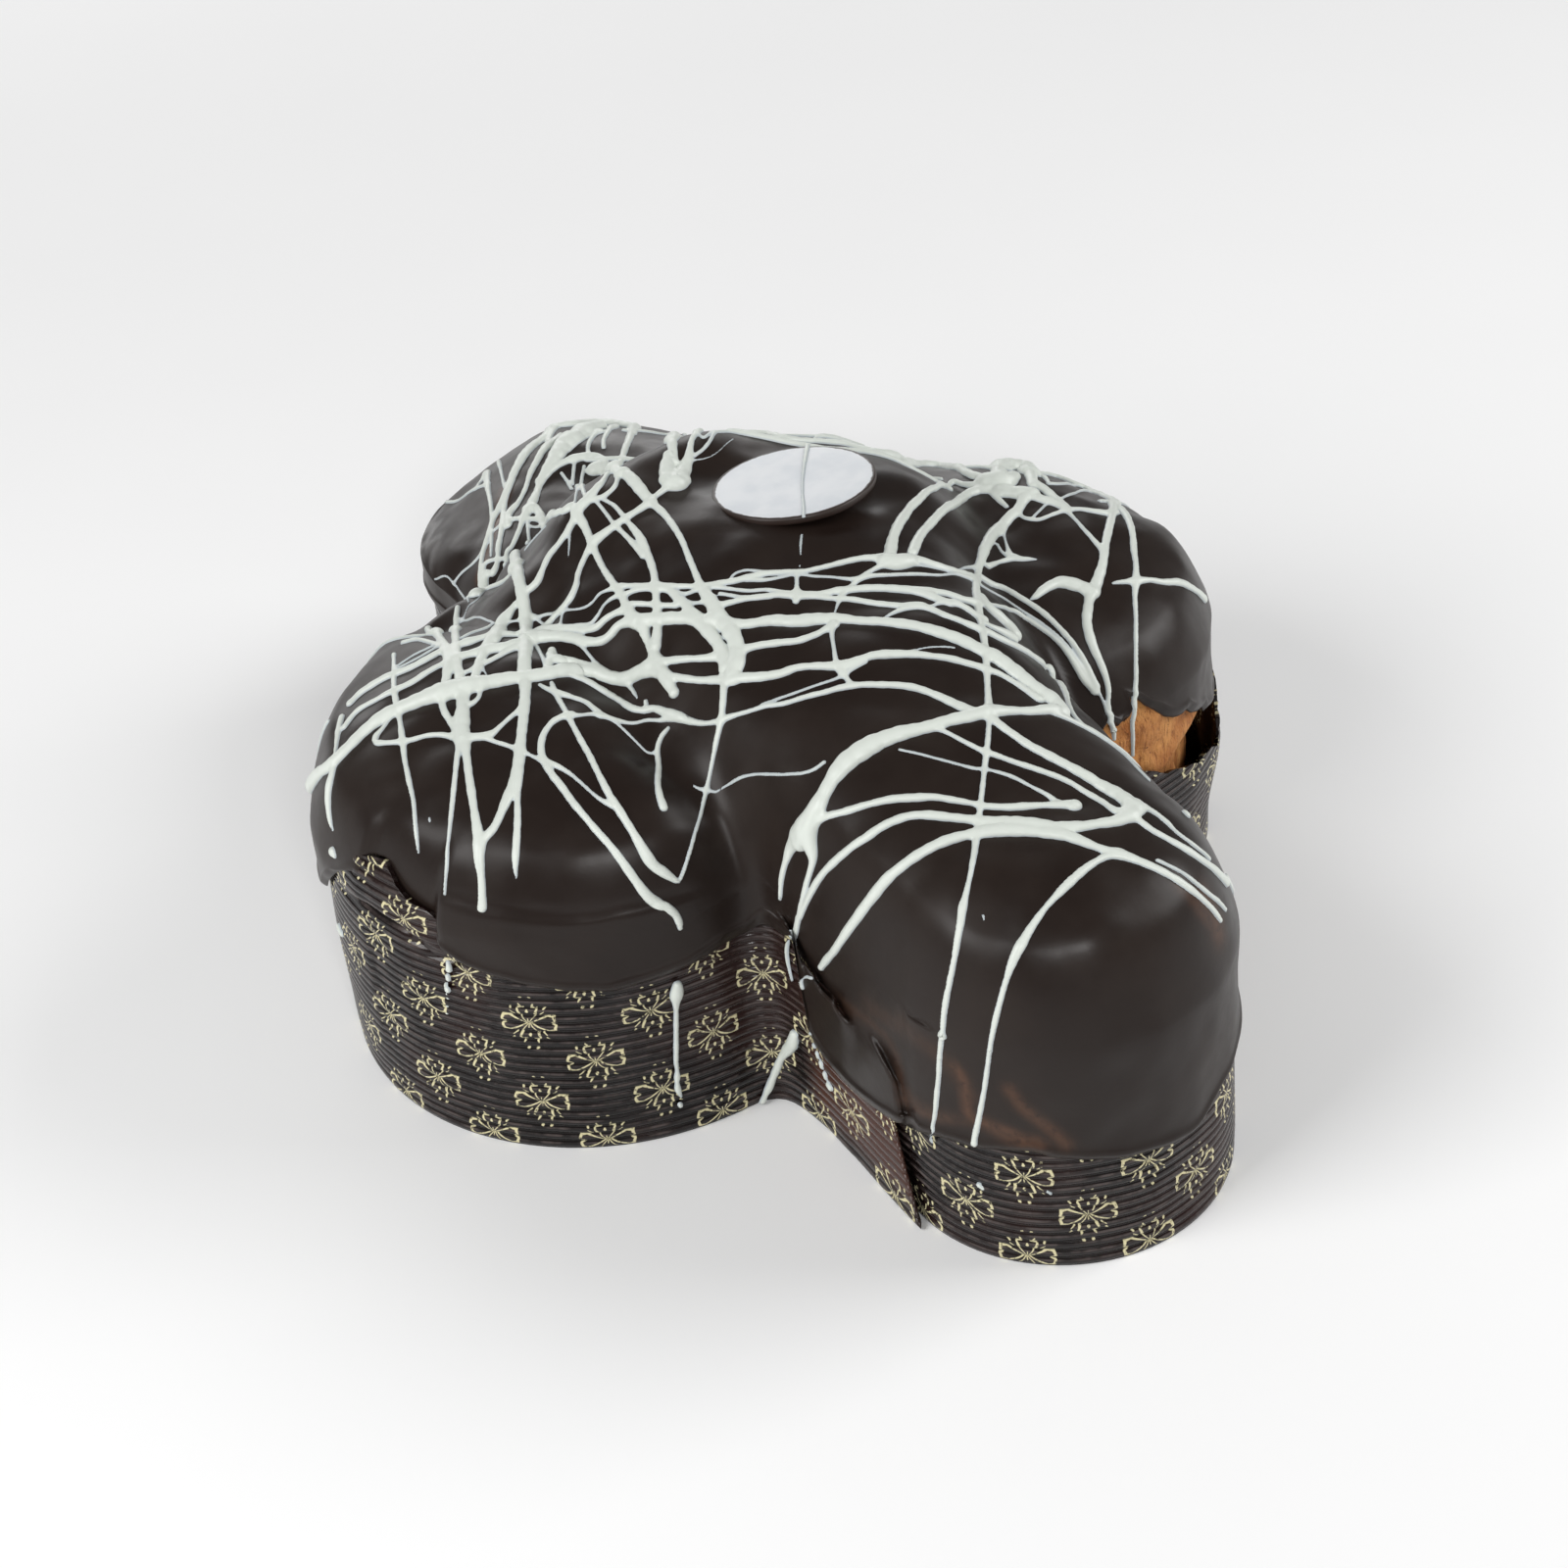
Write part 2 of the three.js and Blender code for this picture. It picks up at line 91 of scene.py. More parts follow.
# Slopes that the drawn cake shows softer or fuller than the solid: from, to, depth and width
SETTLED = (
    ((45, -55), (46, -118), 8.0, 15),
    ((-38, 100), (-8, 137), 5.0, 14),
    ((-36, 116), (-25, 129), 4.5, 8),
    ((24, 128), (40, 108), 4.0, 12),
    ((-18, 50), (9, 52), -4.6, 12),
    ((-58, 52), (-42, 57), 7.0, 10),
    ((78, 42), (86, 38), 3.5, 10),
    ((100, 18), (104, 6), 3.5, 12),
)

# How far the coating runs down below the rim, by angle in degrees. Below zero it ends on the dome.
# Over the bare bread the torn edge read from the photograph takes its place.
COAT_EDGE = (
    (-180, -5.5), (-178.8, -6), (-177.6, -3), (-176.8, 2), (-175, 3), (-168, 3), (-166.5, 4), (-164.5, 6),
    (-163, 7.5), (-161.2, 8.5), (-158, 10), (-153, 12), (-146, 14), (-140, 13), (-132, 11), (-125, 10),
    (-120.2, 9), (-119, 33), (-116.5, 36.5), (-113.5, 37.5), (-110.2, 36.5), (-109, 33), (-106.5, 29),
    (-103.5, 27.5), (-100, 26), (-97, 28), (-89, 31.5), (-85.6, 32), (-82.6, 29), (-79, 26), (-66, 19),
    (-54, 9), (-50, 2), (-47, -2), (-45, -4.5), (-44, -2.3), (-42.8, -0.3), (-42.1, -3), (-41.2, -7),
    (-40.6, -10), (-40.0, -6.2), (-38.8, -2.2), (-35.6, 3), (-31.5, 8.3), (-30.5, 8.5), (-27.2, 13.3),
    (-22.3, 17.8), (-18, 20.9), (-10, 20), (0, 12), (12, 8), (30, 12), (48, 6), (66, 10), (84, 15),
    (102, 11), (120, 7), (138, 12), (150, 9), (160, 10), (167.5, 14), (171.5, 8), (175.8, 0),
)

# Where the coating has slipped inside the paper or ends on the bread: 1 there and 0 elsewhere, by angle
COAT_TUCK = (
    (-180, 0), (-178.6, 0), (-177.4, 1), (-167.5, 1), (-165.5, 0), (-54, 0), (-50, 1), (-38, 1),
    (-33, 0.35), (-26, 0), (178, 0),
)

# How far the top of the paper is below the rim, by angle
PAPER_SAG = (
    (-180, -8.5), (-177, -10.8), (-175, -11.3), (-174, -10.3), (-171.5, -6.8), (-169.5, -5.3),
    (-167.2, -4.2), (-165, -1), (-162, 1), (-54, 0), (-49, 4), (-44, 10), (-39.8, 16.2), (-38.2, 16.8),
    (-35.8, 18.8), (-32.8, 22.2), (-30, 24.2), (-28.5, 23.2), (-26.8, 24.8), (-24, 27.8), (-19.5, 31),
    (-17, 28), (-13, 20), (-9, 12), (-4, 4), (0, 0), (172, 0), (176, -3),
)

# Plaque on the crest
PLAQUE_CENTRE = (17.3, 17.6)
PLAQUE_RADIUS = 19.0
PLAQUE_THICKNESS = 2.0
PLAQUE_LEAN = 0.126
PLAQUE_TOP = 106.3

# Camera, from the photograph
CAMERA_PITCH = math.radians(36.46)
CAMERA_AZIMUTH = math.radians(-27.25)
CAMERA_ROLL = math.radians(-6.0)
CAMERA_AIM = (21.9, 47.2, 0.0)
CAMERA_DISTANCE = 804.0
CAMERA_FOCAL = 72.0
CAMERA_SENSOR = 36.0
PHOTO_SIZE = 1600
PHOTO_SCALE = PHOTO_SIZE * CAMERA_FOCAL / CAMERA_SENSOR

# White drizzle that shows in the photograph. Each strand has its widths, spread evenly over its points,
# and its points, read in pixels of the 1600 pixel photograph: across and down.
LEFT_WING_SEEN = (
    ((10, 12, 10, 12, 14, 20, 12, 14, 14, 14, 15, 16, 13), ((315, 799), (328, 788), (340, 779), (356, 763),
     (373, 746), (400, 727), (430, 715), (462, 705), (500, 697), (530, 692), (560, 688), (585, 685),
     (605, 685), (622, 691), (637, 693), (648, 689), (660, 682), (671, 676))),
    ((10, 9, 9, 8), ((563, 668), (567, 673), (582, 675), (600, 680), (618, 688))),
    ((4,), ((548, 660), (553, 670), (557, 681))),
    ((9, 6), ((563, 664), (561, 676), (557, 684))),
    ((5, 5, 3), ((641, 698), (646, 705), (650, 712))),
    ((5,), ((659, 716), (659.5, 718))),
    ((5, 5, 6, 7, 6, 7, 6, 6, 5, 5, 4, 2.5), ((402, 668), (402, 682), (402, 700), (404, 715), (408, 735),
     (411, 757), (413, 775), (417, 795), (422, 818), (424, 842), (426, 860), (427, 870))),
    ((6, 6, 5, 4, 6, 7, 6, 4, 2), ((349, 732), (346, 745), (344, 758), (342, 772), (340, 788), (336, 808),
     (336, 825), (338, 840), (340, 847))),
    ((6, 6, 7, 6, 6), ((358, 718), (368, 708), (380, 700), (398, 690), (412, 685), (425, 679), (440, 671),
     (455, 662))),
    ((5, 5, 5, 6, 6, 5), ((352, 742), (365, 726), (385, 714), (400, 706), (420, 697), (437, 686),
     (454, 677))),
    ((2.4,), ((405, 683), (422, 674), (438, 665), (452, 657))),
    ((2.2,), ((404, 681), (420, 670), (436, 662), (449, 656))),
    ((4, 5), ((412, 656), (425, 653), (436, 655), (446, 658), (454, 659))),
    ((8, 9, 9, 11, 12, 10, 8, 7, 8, 8, 10), ((437, 642), (445, 647), (451, 655), (455, 664), (458, 676),
     (456, 690), (453, 703), (451, 716), (454, 727), (461, 738), (468, 748))),
    ((6, 7, 9, 10, 10, 12, 14, 17, 18), ((467, 620), (466, 640), (465, 655), (466, 672), (469, 690),
     (471, 707), (472, 723), (471, 738), (471, 752))),
    ((6, 9, 13, 14, 12, 10, 9, 8, 7), ((526, 617), (519, 627), (512, 637), (505, 650), (497, 661),
     (490, 675), (485, 690), (478, 703), (474, 716))),
    ((5,), ((487, 696), (490, 704), (488, 712), (482, 718), (476, 720))),
    ((2,), ((493, 682), (497, 690))),
    ((8, 6, 6, 6, 6, 5, 4.5, 4, 4, 3.5), ((469, 756), (467, 768), (465, 785), (463, 805), (461, 825),
     (459, 845), (457, 865), (456, 885), (454, 912))),
    ((13, 9, 9, 9, 9, 11, 13, 11, 9, 9, 10), ((474, 754), (476, 770), (478, 788), (481, 808), (484, 828),
     (487, 846), (489, 862), (489, 876), (491, 893), (492, 910), (492, 926))),
    ((12, 13, 13, 14, 15, 14, 12, 11, 11, 13, 13, 10, 9, 9, 8), ((526, 567), (529, 585), (533, 606),
     (536, 625), (537, 645), (536, 665), (535, 685), (536, 703), (535, 722), (533, 742), (531, 762),
     (529, 780), (526, 796), (519, 812), (512, 828), (505, 843), (497, 853), (490, 861))),
    ((9, 7, 8, 8, 8, 6, 2.5), ((528, 795), (528, 815), (528, 838), (527, 858), (526, 876), (526, 886),
     (527, 896))),
    ((14, 9, 8, 7, 5, 5, 6), ((473, 755), (482, 753), (492, 752), (502, 749), (511, 741), (521, 732),
     (531, 724))),
    ((6, 5, 5, 5, 4, 4, 6, 6, 5, 4, 4, 5, 6), ((493, 752), (505, 757), (515, 760), (526, 764), (538, 769),
     (548, 774), (556, 777), (567, 781), (581, 789), (592, 798), (603, 808), (613, 816), (624, 822))),
    ((4, 4, 6, 7, 6, 5, 7, 5, 5, 6, 8), ((398, 733), (391, 743), (384, 752), (385, 758), (398, 758),
     (410, 757), (421, 755), (435, 751), (450, 750), (462, 752))),
    ((6, 6, 6, 7, 8, 8, 8, 9, 8, 8, 8, 8, 9, 10, 11, 12, 12, 10, 9, 9, 8, 6), ((583, 729), (573, 732),
     (563, 738), (555, 749), (552, 764), (556, 778), (563, 790), (574, 804), (588, 823), (604, 842),
     (620, 860), (634, 878), (646, 895), (657, 910), (665, 918), (673, 923), (681, 926), (689, 933),
     (693, 941), (694, 947))),
    ((5, 6, 6, 6, 7, 7, 7, 8, 8, 9, 9, 10, 12, 12, 11, 8, 5, 5, 4.5, 4.5, 4.5, 5, 5, 5, 6, 7, 7, 8),
     ((563, 697), (568, 710), (575, 722), (582, 735), (591, 752), (600, 768), (608, 784), (616, 800),
     (623, 813), (632, 827), (642, 843), (651, 858), (659, 872), (667, 883), (677, 890), (686, 896),
     (692, 899), (697, 890), (702, 875), (707, 858), (713, 838), (718, 818), (723, 797), (727, 777),
     (731, 757), (736, 735), (738, 715), (739, 700))),
    ((4, 5, 6, 5, 5, 6, 5, 5, 4, 4, 5, 6), ((551, 699), (560, 704), (572, 708), (585, 712), (598, 717),
     (608, 725), (617, 731), (628, 735), (645, 738), (660, 735), (675, 735), (692, 733))),
    ((6, 4, 4, 6), ((580, 731), (592, 730), (605, 729), (613, 731))),
    ((3,), ((627, 736), (640, 748), (652, 760), (661, 768), (668, 768))),
    ((4, 6, 6, 7, 7, 8, 9), ((682, 743), (675, 752), (671, 765), (672, 782), (671, 798), (673, 812),
     (677, 824))),
    ((5, 6, 7, 7, 8, 8, 7, 9, 12, 11, 8, 6, 7), ((585, 690), (600, 696), (615, 705), (630, 714), (643, 722),
     (655, 725), (667, 723), (680, 727), (692, 731), (705, 736), (720, 738), (735, 736))),
    ((5, 4, 3, 3, 3, 3, 4, 4, 4), ((632, 599), (621, 602), (612, 606), (604, 615), (596, 620), (585, 622),
     (572, 624), (558, 627), (543, 631))),
    ((4, 4, 3, 4, 4, 5, 5, 6, 8), ((632, 608), (624, 611), (616, 618), (610, 628), (603, 636), (592, 638),
     (578, 640), (564, 642), (550, 645))),
    ((9, 7, 7, 7, 7, 6, 7, 8, 10), ((640, 622), (628, 626), (618, 632), (609, 640), (598, 643), (585, 642),
     (570, 641), (556, 643), (545, 648))),
    ((14, 10, 9, 9, 10, 11, 11, 13, 15), ((650, 634), (640, 635), (631, 639), (623, 648), (614, 654),
     (602, 655), (586, 652), (568, 650), (552, 651), (540, 654))),
    ((4,), ((545, 628), (552, 635), (560, 639))),
    ((3,), ((574, 624), (572, 638))),
    ((4,), ((591, 657), (600, 667), (608, 676), (614, 682))),
    ((8, 8, 10, 10, 8), ((462, 673), (480, 668), (496, 664), (514, 661), (532, 656))),
    ((3, 4, 5, 5, 6, 6), ((468, 690), (480, 684), (493, 678), (507, 671), (520, 664), (531, 660))),
    ((6, 8, 6, 6), ((466, 660), (478, 656), (490, 652), (500, 649))),
    ((6,), ((512, 648), (532, 647))),
    ((3,), ((519, 635), (530, 633))),
    ((3,), ((472, 651), (485, 645), (500, 639))),
    ((3,), ((470, 632), (489, 630), (504, 636))),
    ((1.6,), ((472, 634), (478, 619), (491, 607), (503, 596))),
    ((8, 5), ((340, 869), (342, 873))),
    ((5,), ((347, 946), (350, 953))),
)
CREST_SEEN = (
    ((7, 5, 5, 5, 6, 6, 7, 7, 7, 8, 8, 9, 10), ((738, 734), (760, 727), (780, 721), (800, 718), (820, 712),
     (840, 707), (858, 702), (878, 699), (900, 699), (920, 700), (940, 704), (958, 711), (975, 719),
     (992, 727))),
    ((3, 3, 3, 3, 4, 4), ((778, 719), (800, 711), (820, 704), (840, 697), (857, 691), (870, 683),
     (883, 676))),
    ((8, 7, 6, 6, 6, 8, 7, 6), ((589, 521), (583, 536), (572, 553), (561, 567), (554, 581), (549, 593),
     (541, 601), (534, 604))),
    ((10, 10, 9, 8, 7, 8, 8, 9, 9, 12, 14, 14, 9, 10, 13, 16, 14, 13, 12), ((588, 523), (596, 536),
     (603, 552), (610, 569), (618, 584), (627, 597), (634, 607), (640, 620), (647, 631), (656, 640),
     (660, 652), (666, 665), (671, 677), (678, 690), (684, 700), (688, 707))),
    ((12, 11, 11, 13, 12, 10), ((617, 477), (628, 478), (638, 483), (648, 493), (656, 503), (664, 513))),
    ((9, 7, 7, 7, 10, 9, 6, 6, 6, 6, 7, 6, 6, 7), ((664, 513), (650, 522), (637, 530), (622, 541),
     (609, 551), (603, 558), (596, 571), (590, 586), (588, 598), (583, 610), (575, 620), (566, 630),
     (557, 640))),
    ((5, 6, 8, 10, 10), ((620, 484), (614, 493), (607, 501), (600, 510), (589, 521))),
    ((5,), ((631, 487), (627, 497), (617, 506), (605, 510))),
    ((5,), ((589, 496), (595, 500), (602, 505))),
    ((3,), ((588, 500), (587, 512))),
    ((4, 5, 6, 8), ((608, 511), (617, 522), (627, 535), (638, 546), (648, 557), (657, 567))),
    ((4, 5, 6, 9, 9, 8, 9), ((617, 510), (629, 518), (641, 533), (653, 548), (661, 566), (667, 584),
     (669, 600))),
    ((9, 8, 9, 10, 12), ((669, 600), (670, 614), (671, 628), (671, 645), (669, 660))),
    ((3, 3, 1.5), ((581, 537), (581, 552), (580, 568))),
    ((8, 8, 7, 7, 7, 9, 15, 18, 18, 16, 17, 18, 16), ((666, 514), (678, 525), (688, 538), (697, 554),
     (705, 574), (713, 593), (720, 606), (728, 618), (734, 630), (744, 642), (751, 655), (753, 668),
     (751, 680), (747, 691))),
    ((12, 14, 14, 14, 18), ((702, 624), (711, 633), (721, 643), (731, 655), (738, 668), (742, 682))),
    ((10, 8, 8, 9, 12), ((672, 599), (683, 603), (691, 611), (700, 619), (712, 630))),
    ((4,), ((690, 604), (700, 606), (712, 602))),
    ((4,), ((697, 611), (706, 615), (716, 615))),
    ((6,), ((634, 598), (655, 598), (680, 598), (714, 599))),
    ((5,), ((640, 606), (652, 602), (668, 601))),
    ((6,), ((645, 616), (668, 617), (690, 618))),
    ((14, 14, 13, 13), ((650, 634), (668, 632), (690, 631), (715, 633))),
    ((5, 6, 7, 7, 5, 5, 5, 6, 6, 7, 8), ((722, 597), (745, 594), (762, 590), (780, 586), (800, 584),
     (820, 583), (840, 579), (860, 574), (880, 570), (903, 570))),
    ((3,), ((745, 593), (748, 587), (756, 583), (766, 582), (785, 584), (797, 585))),
    ((4, 4, 3, 3, 3, 3, 5, 5, 4, 4, 3, 3, 4, 5), ((763, 592), (780, 592), (798, 589), (812, 586),
     (830, 588), (850, 589), (875, 591), (888, 588), (903, 587), (930, 586), (957, 587), (975, 586),
     (985, 589), (995, 593))),
    ((5, 4, 4, 4, 5, 6, 7, 8, 8, 8, 9, 8, 6), ((728, 599), (745, 601), (762, 603), (782, 602), (802, 605),
     (820, 606), (840, 606), (858, 603), (880, 601), (905, 601), (928, 603), (945, 607), (957, 612),
     (970, 617))),
    ((6, 7, 6, 8), ((928, 602), (950, 604), (967, 607), (981, 612), (996, 616))),
    ((4, 4, 4, 5, 6, 6, 5, 6, 6, 6, 7, 8, 6, 6, 6, 7), ((735, 606), (748, 608), (762, 610), (785, 608),
     (813, 609), (832, 609), (850, 611), (875, 613), (900, 617), (920, 619), (938, 619), (952, 623),
     (966, 629), (982, 635), (998, 642))),
    ((6, 6, 5, 5), ((738, 617), (750, 614), (765, 611), (785, 609))),
    ((15, 11, 10, 12, 14, 11, 9, 9, 10, 11, 12, 12, 13, 14, 12, 12, 13, 11), ((725, 633), (745, 636),
     (765, 637), (790, 634), (815, 635), (835, 633), (852, 632), (875, 634), (900, 635), (925, 638),
     (945, 642), (965, 648), (985, 656), (1003, 665), (1018, 673), (1033, 684), (1048, 696), (1062, 707),
     (1074, 716), (1084, 726))),
    ((9, 8, 7, 7, 7, 8), ((755, 664), (775, 659), (797, 656), (815, 654), (830, 649), (842, 643),
     (851, 638))),
    ((12, 10, 9, 8, 8, 9, 10, 8, 9, 9, 8, 7, 7, 7, 7, 6, 5, 6, 8), ((750, 693), (775, 691), (795, 688),
     (812, 682), (832, 680), (850, 680), (865, 678), (878, 673), (893, 669), (912, 668), (932, 668),
     (952, 670), (972, 673), (990, 678), (1006, 683), (1020, 688), (1034, 696), (1046, 704), (1060, 714))),
    ((12, 9, 8, 8, 10), ((667, 678), (680, 675), (695, 673), (715, 672), (735, 670))),
    ((13, 10, 8, 9, 12), ((658, 686), (672, 687), (690, 691), (712, 694), (732, 694), (750, 693))),
    ((9, 5, 5, 6, 9, 6, 6), ((850, 636), (849, 648), (851, 662), (853, 674), (858, 685), (863, 691),
     (868, 698))),
    ((5, 5, 9, 7), ((813, 586), (813, 597), (813, 606), (812, 614))),
    ((6, 5, 5, 5, 6, 4, 2), ((901, 577), (888, 583), (878, 590), (869, 598), (860, 607), (855, 616),
     (851, 627))),
    ((2, 4, 5, 6), ((902, 631), (911, 626), (922, 622), (937, 619))),
    ((3, 5, 7, 6, 6, 7), ((950, 619), (962, 615), (974, 616), (985, 621), (995, 628), (1003, 633))),
    ((2,), ((931, 664), (945, 661), (960, 660), (974, 661))),
    ((15, 18, 15), ((904, 573), (915, 575), (927, 573))),
    ((14, 12, 11, 10, 9, 7, 6, 6, 8), ((908, 566), (911, 550), (917, 535), (928, 519), (941, 506),
     (956, 497), (970, 494), (984, 495), (999, 498))),
    ((12, 11, 10, 10, 10, 10, 9, 10), ((931, 564), (935, 554), (944, 540), (956, 527), (970, 516),
     (984, 507), (996, 502), (1008, 500))),
    ((8, 6, 5, 5), ((933, 571), (955, 577), (972, 582), (985, 586), (998, 591))),
    ((2,), ((936, 577), (955, 580), (972, 584), (990, 591))),
    ((12, 10, 12, 13, 13, 12, 8, 8, 8, 9, 8, 7, 8, 8, 7, 7, 10), ((1046, 508), (1038, 521), (1027, 532),
     (1015, 544), (1006, 557), (1001, 570), (998, 582), (996, 593), (996, 606), (998, 620), (1001, 637),
     (1004, 653), (1006, 670), (1007, 688), (1008, 706), (1009, 722))),
    ((7, 6, 6, 7, 6, 6, 6, 7, 7, 8, 7, 6, 6, 7, 10, 9, 8, 7, 7, 7, 7, 6.5, 6, 6, 6, 6, 5, 4, 2),
     ((1009, 722), (1009, 738), (1008, 755), (1006, 772), (1004, 790), (1002, 808), (1000, 825), (998, 842),
     (996, 857), (994, 872), (991, 888), (988, 902), (985, 915), (982, 928), (980, 943), (977, 960),
     (974, 978), (970, 998), (966, 1018), (963, 1038), (961, 1058), (959, 1078), (958, 1098), (956, 1118),
     (954, 1138), (952, 1155), (951, 1167))),
    ((8, 8, 9, 9, 10), ((1001, 610), (1009, 621), (1019, 630), (1029, 640), (1035, 648))),
    ((4, 5, 7, 8), ((1001, 634), (1011, 640), (1023, 646), (1033, 652))),
    ((6, 6, 6, 6, 6, 6, 6, 5, 4, 3), ((1003, 643), (1018, 651), (1032, 658), (1047, 666), (1060, 675),
     (1072, 685), (1081, 697), (1087, 709), (1091, 721), (1097, 732), (1106, 741))),
    ((6, 6, 6, 6, 6, 6, 6, 7, 9), ((1002, 591), (1022, 600), (1041, 610), (1057, 620), (1071, 631),
     (1084, 644), (1096, 658), (1106, 674), (1113, 689), (1118, 700))),
    ((2.4, 2.4, 3, 3, 4, 5, 7), ((1000, 597), (1017, 607), (1035, 618), (1052, 629), (1067, 639),
     (1081, 651), (1092, 664), (1101, 678), (1109, 691), (1117, 704))),
    ((4, 4, 5, 5, 5, 5, 6, 7, 8), ((1004, 617), (1019, 619), (1032, 623), (1046, 631), (1060, 640),
     (1074, 650), (1086, 662), (1096, 677), (1105, 692), (1117, 705))),
    ((3, 3, 4), ((1120, 704), (1125, 714), (1129, 725), (1132, 736))),
    ((3,), ((1084, 727), (1095, 736), (1109, 744), (1122, 752), (1135, 761), (1147, 771), (1160, 784),
     (1172, 796))),
    ((12, 9, 9, 13), ((1075, 725), (1055, 726), (1035, 726), (1012, 726))),
    ((9, 10, 12, 14, 17, 20), ((688, 445), (686, 455), (683, 466), (681, 478), (682, 490))),
    ((6, 6, 8, 10, 15, 19), ((712, 441), (706, 449), (704, 458), (702, 468), (698, 480), (691, 491))),
    ((17, 20, 17), ((684, 492), (689, 494), (695, 491))),
    ((7, 6, 6), ((679, 499), (671, 505), (663, 512))),
    ((4,), ((730, 441), (725, 449), (718, 458), (709, 465))),
    ((1.6,), ((748, 448), (735, 459), (722, 467), (708, 470))),
    ((3,), ((697, 441), (710, 440), (728, 441), (746, 440))),
    ((6, 6, 7, 7, 6, 6, 6, 6, 7, 10, 8, 8, 8, 9, 10), ((747, 440), (765, 441), (782, 444), (797, 448),
     (812, 450), (830, 451), (845, 452), (862, 454), (880, 459), (898, 463), (914, 466), (930, 468),
     (948, 471), (966, 476), (985, 482), (1003, 489), (1015, 492))),
    ((8,), ((921, 469), (923, 472))),
    ((4,), ((829, 450), (838, 445), (850, 443), (866, 445), (882, 449))),
    ((3,), ((916, 454), (920, 459), (923, 465))),
    ((2.4,), ((928, 456), (941, 459), (953, 466))),
    ((3, 3, 2), ((818, 546), (817, 556), (817, 566))),
    ((2,), ((816, 577), (816, 578))),
)
RIGHT_WING_SEEN = (
    ((12, 14, 15, 14, 12, 10), ((1016, 486), (1022, 478), (1033, 475), (1045, 479), (1052, 487),
     (1054, 496))),
    ((18, 20, 18, 12), ((1008, 494), (1018, 493), (1027, 491), (1034, 487))),
    ((14, 13, 12), ((1022, 502), (1037, 504), (1052, 505))),
    ((7, 6, 5), ((1011, 502), (1019, 510), (1027, 517))),
    ((8,), ((1054, 493), (1064, 499), (1074, 507), (1083, 514), (1089, 521))),
    ((8,), ((1050, 505), (1062, 510), (1073, 513), (1085, 518))),
    ((4,), ((1055, 483), (1064, 487), (1070, 493))),
    ((3,), ((1070, 494), (1085, 494), (1100, 496), (1110, 498))),
    ((3,), ((1083, 509), (1095, 504), (1106, 501), (1115, 498))),
    ((4, 5, 6, 5, 6, 6, 7), ((1058, 484), (1072, 483), (1084, 485), (1096, 491), (1108, 497), (1120, 503),
     (1130, 509), (1138, 514))),
    ((2.6,), ((990, 462), (1010, 465), (1030, 469), (1050, 475), (1070, 481))),
    ((2.6,), ((983, 465), (1000, 469), (1019, 474))),
    ((2.6,), ((1000, 461), (1025, 464), (1048, 470), (1070, 477), (1090, 485))),
    ((5, 4, 4, 4, 4, 5, 4, 5, 6, 8), ((1040, 520), (1043, 527), (1052, 530), (1062, 530), (1075, 525),
     (1088, 521), (1101, 520), (1115, 522), (1127, 524), (1137, 523))),
    ((3,), ((1068, 514), (1062, 520), (1055, 527))),
    ((5, 4, 4, 5, 6), ((1088, 521), (1096, 529), (1105, 539), (1115, 550), (1126, 563))),
    ((8, 9, 9, 9, 9, 10, 12, 14, 11, 11, 11, 10, 9, 8, 7, 6, 5, 5, 5, 4), ((1137, 513), (1135, 524),
     (1132, 537), (1129, 550), (1127, 563), (1125, 576), (1121, 589), (1117, 600), (1112, 610), (1110, 622),
     (1109, 635), (1112, 650), (1117, 664), (1123, 677), (1128, 690), (1131, 704), (1131, 719), (1134, 734),
     (1136, 744), (1137, 754))),
    ((14, 13, 13, 12, 10, 8, 3), ((1114, 605), (1104, 600), (1094, 597), (1084, 595), (1074, 597),
     (1065, 602), (1058, 608), (1053, 611))),
    ((6, 7, 7, 7, 7, 6, 8, 6, 5, 5, 5, 5, 6, 5, 4, 3), ((1140, 518), (1148, 525), (1153, 535), (1156, 548),
     (1157, 562), (1159, 576), (1159, 592), (1158, 608), (1159, 628), (1159, 650), (1159, 672), (1159, 694),
     (1157, 713), (1156, 733), (1156, 752), (1156, 771))),
    ((3, 5, 8, 6, 6, 8, 7, 6, 6), ((1136, 595), (1146, 594), (1159, 593), (1172, 592), (1186, 594),
     (1200, 594), (1210, 597), (1220, 603), (1228, 611))),
    ((5, 3, 4, 8, 6, 4, 2), ((1024, 538), (1025, 548), (1028, 559), (1032, 568), (1041, 571), (1050, 571),
     (1057, 571))),
    ((6, 5, 7), ((1031, 571), (1019, 574), (1008, 578))),
    ((3,), ((1018, 556), (1022, 563), (1028, 568))),
    ((2, 4, 5), ((976, 583), (988, 579), (1000, 575))),
)
